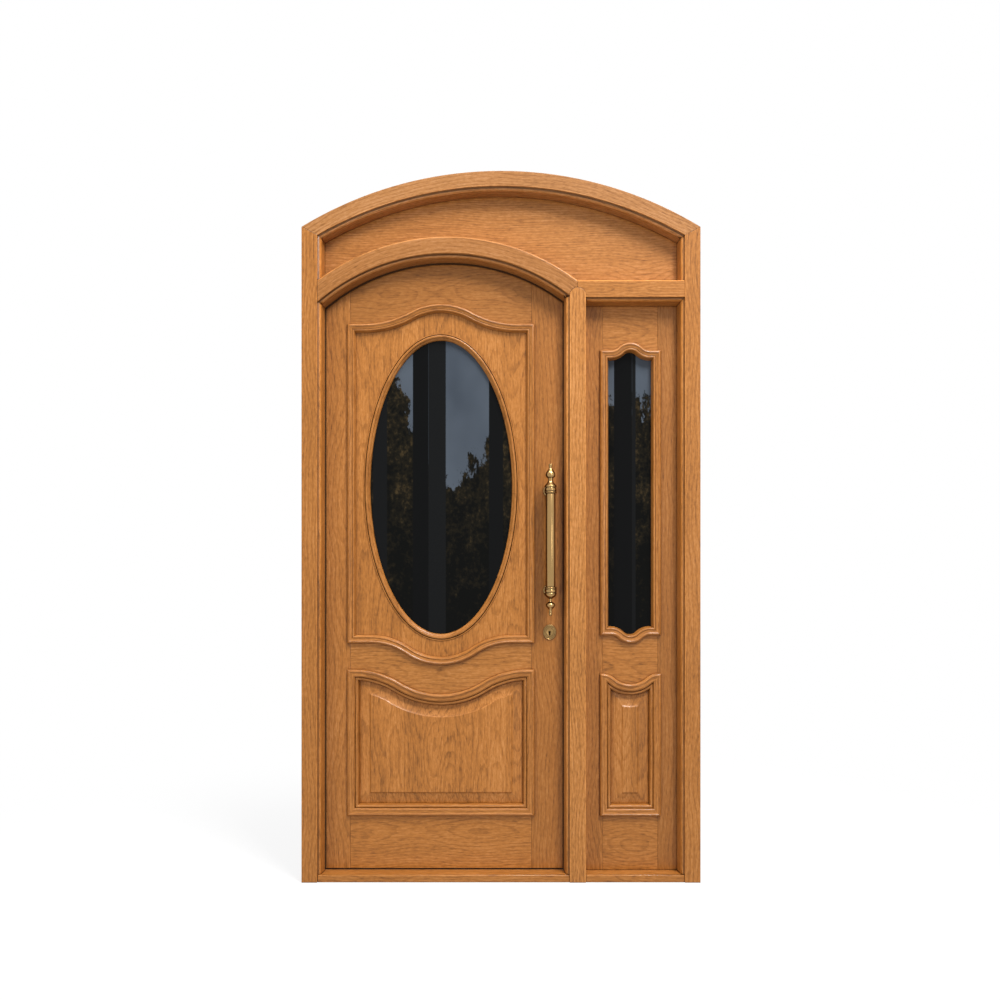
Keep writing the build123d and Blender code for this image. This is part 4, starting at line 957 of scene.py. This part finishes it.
# %% Screws
def screw_tree():
    """A slotted head on every point, turned at random about its own axis."""
    tree, given = new_tree("slotted_screws", Radius=0.0036, Height=0.0008, Slot=0.0011, Finish=None)
    start = given["Geometry"]
    head = start.node("GeometryNodeMeshCylinder", Vertices=24, Radius=given["Radius"], Depth=given["Height"])
    slot = start.node("GeometryNodeMeshCube", Size=start.vector(given["Radius"] * 3.0, given["Slot"],
                                                               given["Height"]))
    up = start.vector(0.0, 0.0, given["Height"] * 0.55)
    slot = start.node("GeometryNodeTransform", Geometry=slot, Translation=up)
    cut = start.node("GeometryNodeMeshBoolean", {"operation": "DIFFERENCE"}, Mesh_1=head, Mesh_2=slot)
    spread = start.node("FunctionNodeRandomValue", {"data_type": "FLOAT"}, 1, s2=0.0, s3=math.pi, Seed=7)
    heading = start.vector(0.0, math.pi / 2, 0.0)
    points = start.node("GeometryNodeMeshToPoints", Mesh=start)
    placed = start.node("GeometryNodeInstanceOnPoints", Points=points, Instance=cut, Rotation=heading)
    placed = start.node("GeometryNodeRotateInstances", Instances=placed,
                        Rotation=start.vector(0.0, 0.0, spread))
    close_tree(placed, given["Finish"])
    return tree


def plate_rows(node, face_x, depths, ends):
    """Screw places on a plate: near its ends, at given depths."""
    low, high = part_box(node)
    return [(face_x, y, z) for y in depths for z in (low[2] + ends, high[2] - ends)]


screws = screw_tree()
HINGE_LEVELS = (0.260, 1.120, 1.9836)
HINGE_HOLES = ((0.030, -0.038), (0.040, -0.014), (0.040, 0.014), (0.030, 0.038))
LEAF_HINGE_X, FRAME_HINGE_X = 0.0621, 0.0609
FOREND_X, STRIKE_X = 0.98697, 0.99197
PLATE_DEPTHS, PLATE_END = (0.0325,), 0.012
hinge_rows = [(y, z + dz) for z in HINGE_LEVELS for y, dz in HINGE_HOLES]
leaf_points = [(LEAF_HINGE_X, y, z) for y, z in hinge_rows]
leaf_points += plate_rows("lock_forend", FOREND_X, PLATE_DEPTHS, PLATE_END)
frame_points = [(FRAME_HINGE_X, y, z) for y, z in hinge_rows]
frame_points += plate_rows("strike_plate", STRIKE_X, PLATE_DEPTHS, PLATE_END)
for body, points in (("leaf", leaf_points), ("frame", frame_points)):
    mesh = grown_mesh(body + "_screws", points, [], screws, Finish=STEEL)
    piece = link_piece(body + "_screws", mesh, STEEL, body, None)
    print(piece.name, "heads:", len(points), "faces:", len(mesh.polygons))

# %% [markdown]
# ## Light, floor and camera
# Soft light from high on the right, as in the photograph, and a long strip overhead that draws the light
# edges. A narrow light at the right draws a line on the pull, a weak one fills in from the left and one
# lights the back. The floor takes the object's shadow near it and runs out to plain white, and it bounces
# little light upward, so the undersides of the arches stay dark. The camera stands where the photograph's
# perspective puts it.

# %% Lights
MIDDLE = (0.7385, 0.0, 1.3)  # the lights point here


def soft_light(name, at, size, power, colour=PLAIN):
    """Rectangular area light."""
    lamp = bpy.data.lights.new(name, "AREA")
    lamp.shape = "RECTANGLE"
    lamp.size, lamp.size_y = size
    lamp.energy = power
    lamp.color = colour
    item = bpy.data.objects.new(name, lamp)
    item.location = at
    item.rotation_euler = (Vector(MIDDLE) - Vector(at)).to_track_quat("-Z", "Y").to_euler()
    bpy.context.scene.collection.objects.link(item)
    return item


soft_light("key", (3.2, -3.9, 7.2), (2.0, 2.0), 555.0, (1.0, 0.985, 0.96))
soft_light("strip", (0.74, -1.7, 6.2), (5.0, 0.9), 130.0)
soft_light("side", (3.3, -4.0, 1.5), (0.5, 2.4), 26.0)
soft_light("fill", (-4.4, -4.6, 1.2), (3.0, 3.0), 160.0, (0.97, 0.985, 1.0)).visible_glossy = False
soft_light("back", (0.4, 5.4, 4.4), (3.0, 3.0), 170.0)
print("lights ready")

# %% Floor and sky
def seen_by_eye(start):
    """One for rays from the camera, and for what metal and glass show."""
    path = start.node("ShaderNodeLightPath").socket.node.outputs
    camera, glossy, through = (Sock(start.tree, path[k]) for k in
                               ("Is Camera Ray", "Is Glossy Ray", "Is Transmission Ray"))
    return camera.math("MAXIMUM", camera, camera.math("MAXIMUM", glossy, through))


SPREAD = 14.0  # half the floor's width
SHADOW = (0.9, 2.6)  # the shadow fades out between these distances
GLOW = 0.80  # how much of the floor near the object is plain white
corners = [(-SPREAD, -SPREAD, 0), (SPREAD, -SPREAD, 0), (SPREAD, SPREAD, 0), (-SPREAD, SPREAD, 0)]
floor_mesh = new_mesh("floor", corners, [(0, 1, 2, 3)])
floor = bpy.data.objects.new("floor", floor_mesh)
bpy.context.scene.collection.objects.link(floor)
pale, start, shader = new_material("pale_floor")
x, y, _ = start.place()
away = ((x - MIDDLE[0]) * (x - MIDDLE[0]) + y * y).sqrt().clip(*SHADOW)
eye = seen_by_eye(start)
dim_floor = start.node("ShaderNodeBsdfDiffuse", Color=(0.30, 0.29, 0.28, 1.0))
lit_floor = start.node("ShaderNodeBsdfDiffuse", Color=(0.95, 0.95, 0.95, 1.0))
glow = start.node("ShaderNodeEmission", Color=WHITE, Strength=1.0)
near = start.node("ShaderNodeMixShader", s0=GLOW + (1.0 - GLOW) * away, s1=lit_floor, s2=glow)
ground = start.node("ShaderNodeMixShader", s0=eye, s1=dim_floor, s2=near)
out = next(node for node in start.tree.nodes if node.type == "OUTPUT_MATERIAL")
start.tree.links.new(ground.socket, out.inputs[0])
start.tree.nodes.remove(shader)
floor_mesh.materials.append(pale)

world = bpy.data.worlds.new("plain_sky")
bpy.context.scene.world = world
world.use_nodes = True
world.node_tree.nodes.clear()
sky = Sock(world.node_tree)
soft_sky = sky.node("ShaderNodeBackground", Color=(0.93, 0.96, 1.0, 1.0), Strength=0.30)
white_sky = sky.node("ShaderNodeBackground", Color=WHITE, Strength=1.0)
both = sky.node("ShaderNodeMixShader", s0=seen_by_eye(sky), s1=soft_sky, s2=white_sky)
sky_end = world.node_tree.nodes.new("ShaderNodeOutputWorld")
world.node_tree.links.new(both.socket, sky_end.inputs[0])
print("floor and sky ready")

# %% Camera
SENSOR = 36.0
DISTANCE, WIDTH_SEEN = 3.4, 3.7  # metres, from and across the frame's outer face
FACE_Y = -0.055
camera = bpy.data.cameras.new("camera")
camera.sensor_width = SENSOR
camera.lens = SENSOR * DISTANCE / WIDTH_SEEN
camera.shift_y = 0.066
view = bpy.data.objects.new("camera", camera)
view.location = (0.7348, FACE_Y - DISTANCE, 1.1722)
view.rotation_euler = (math.radians(90), 0, 0)
bpy.context.scene.collection.objects.link(view)
bpy.context.scene.camera = view
bpy.context.scene.view_settings.view_transform = "Standard"
print("camera at", tuple(view.location))
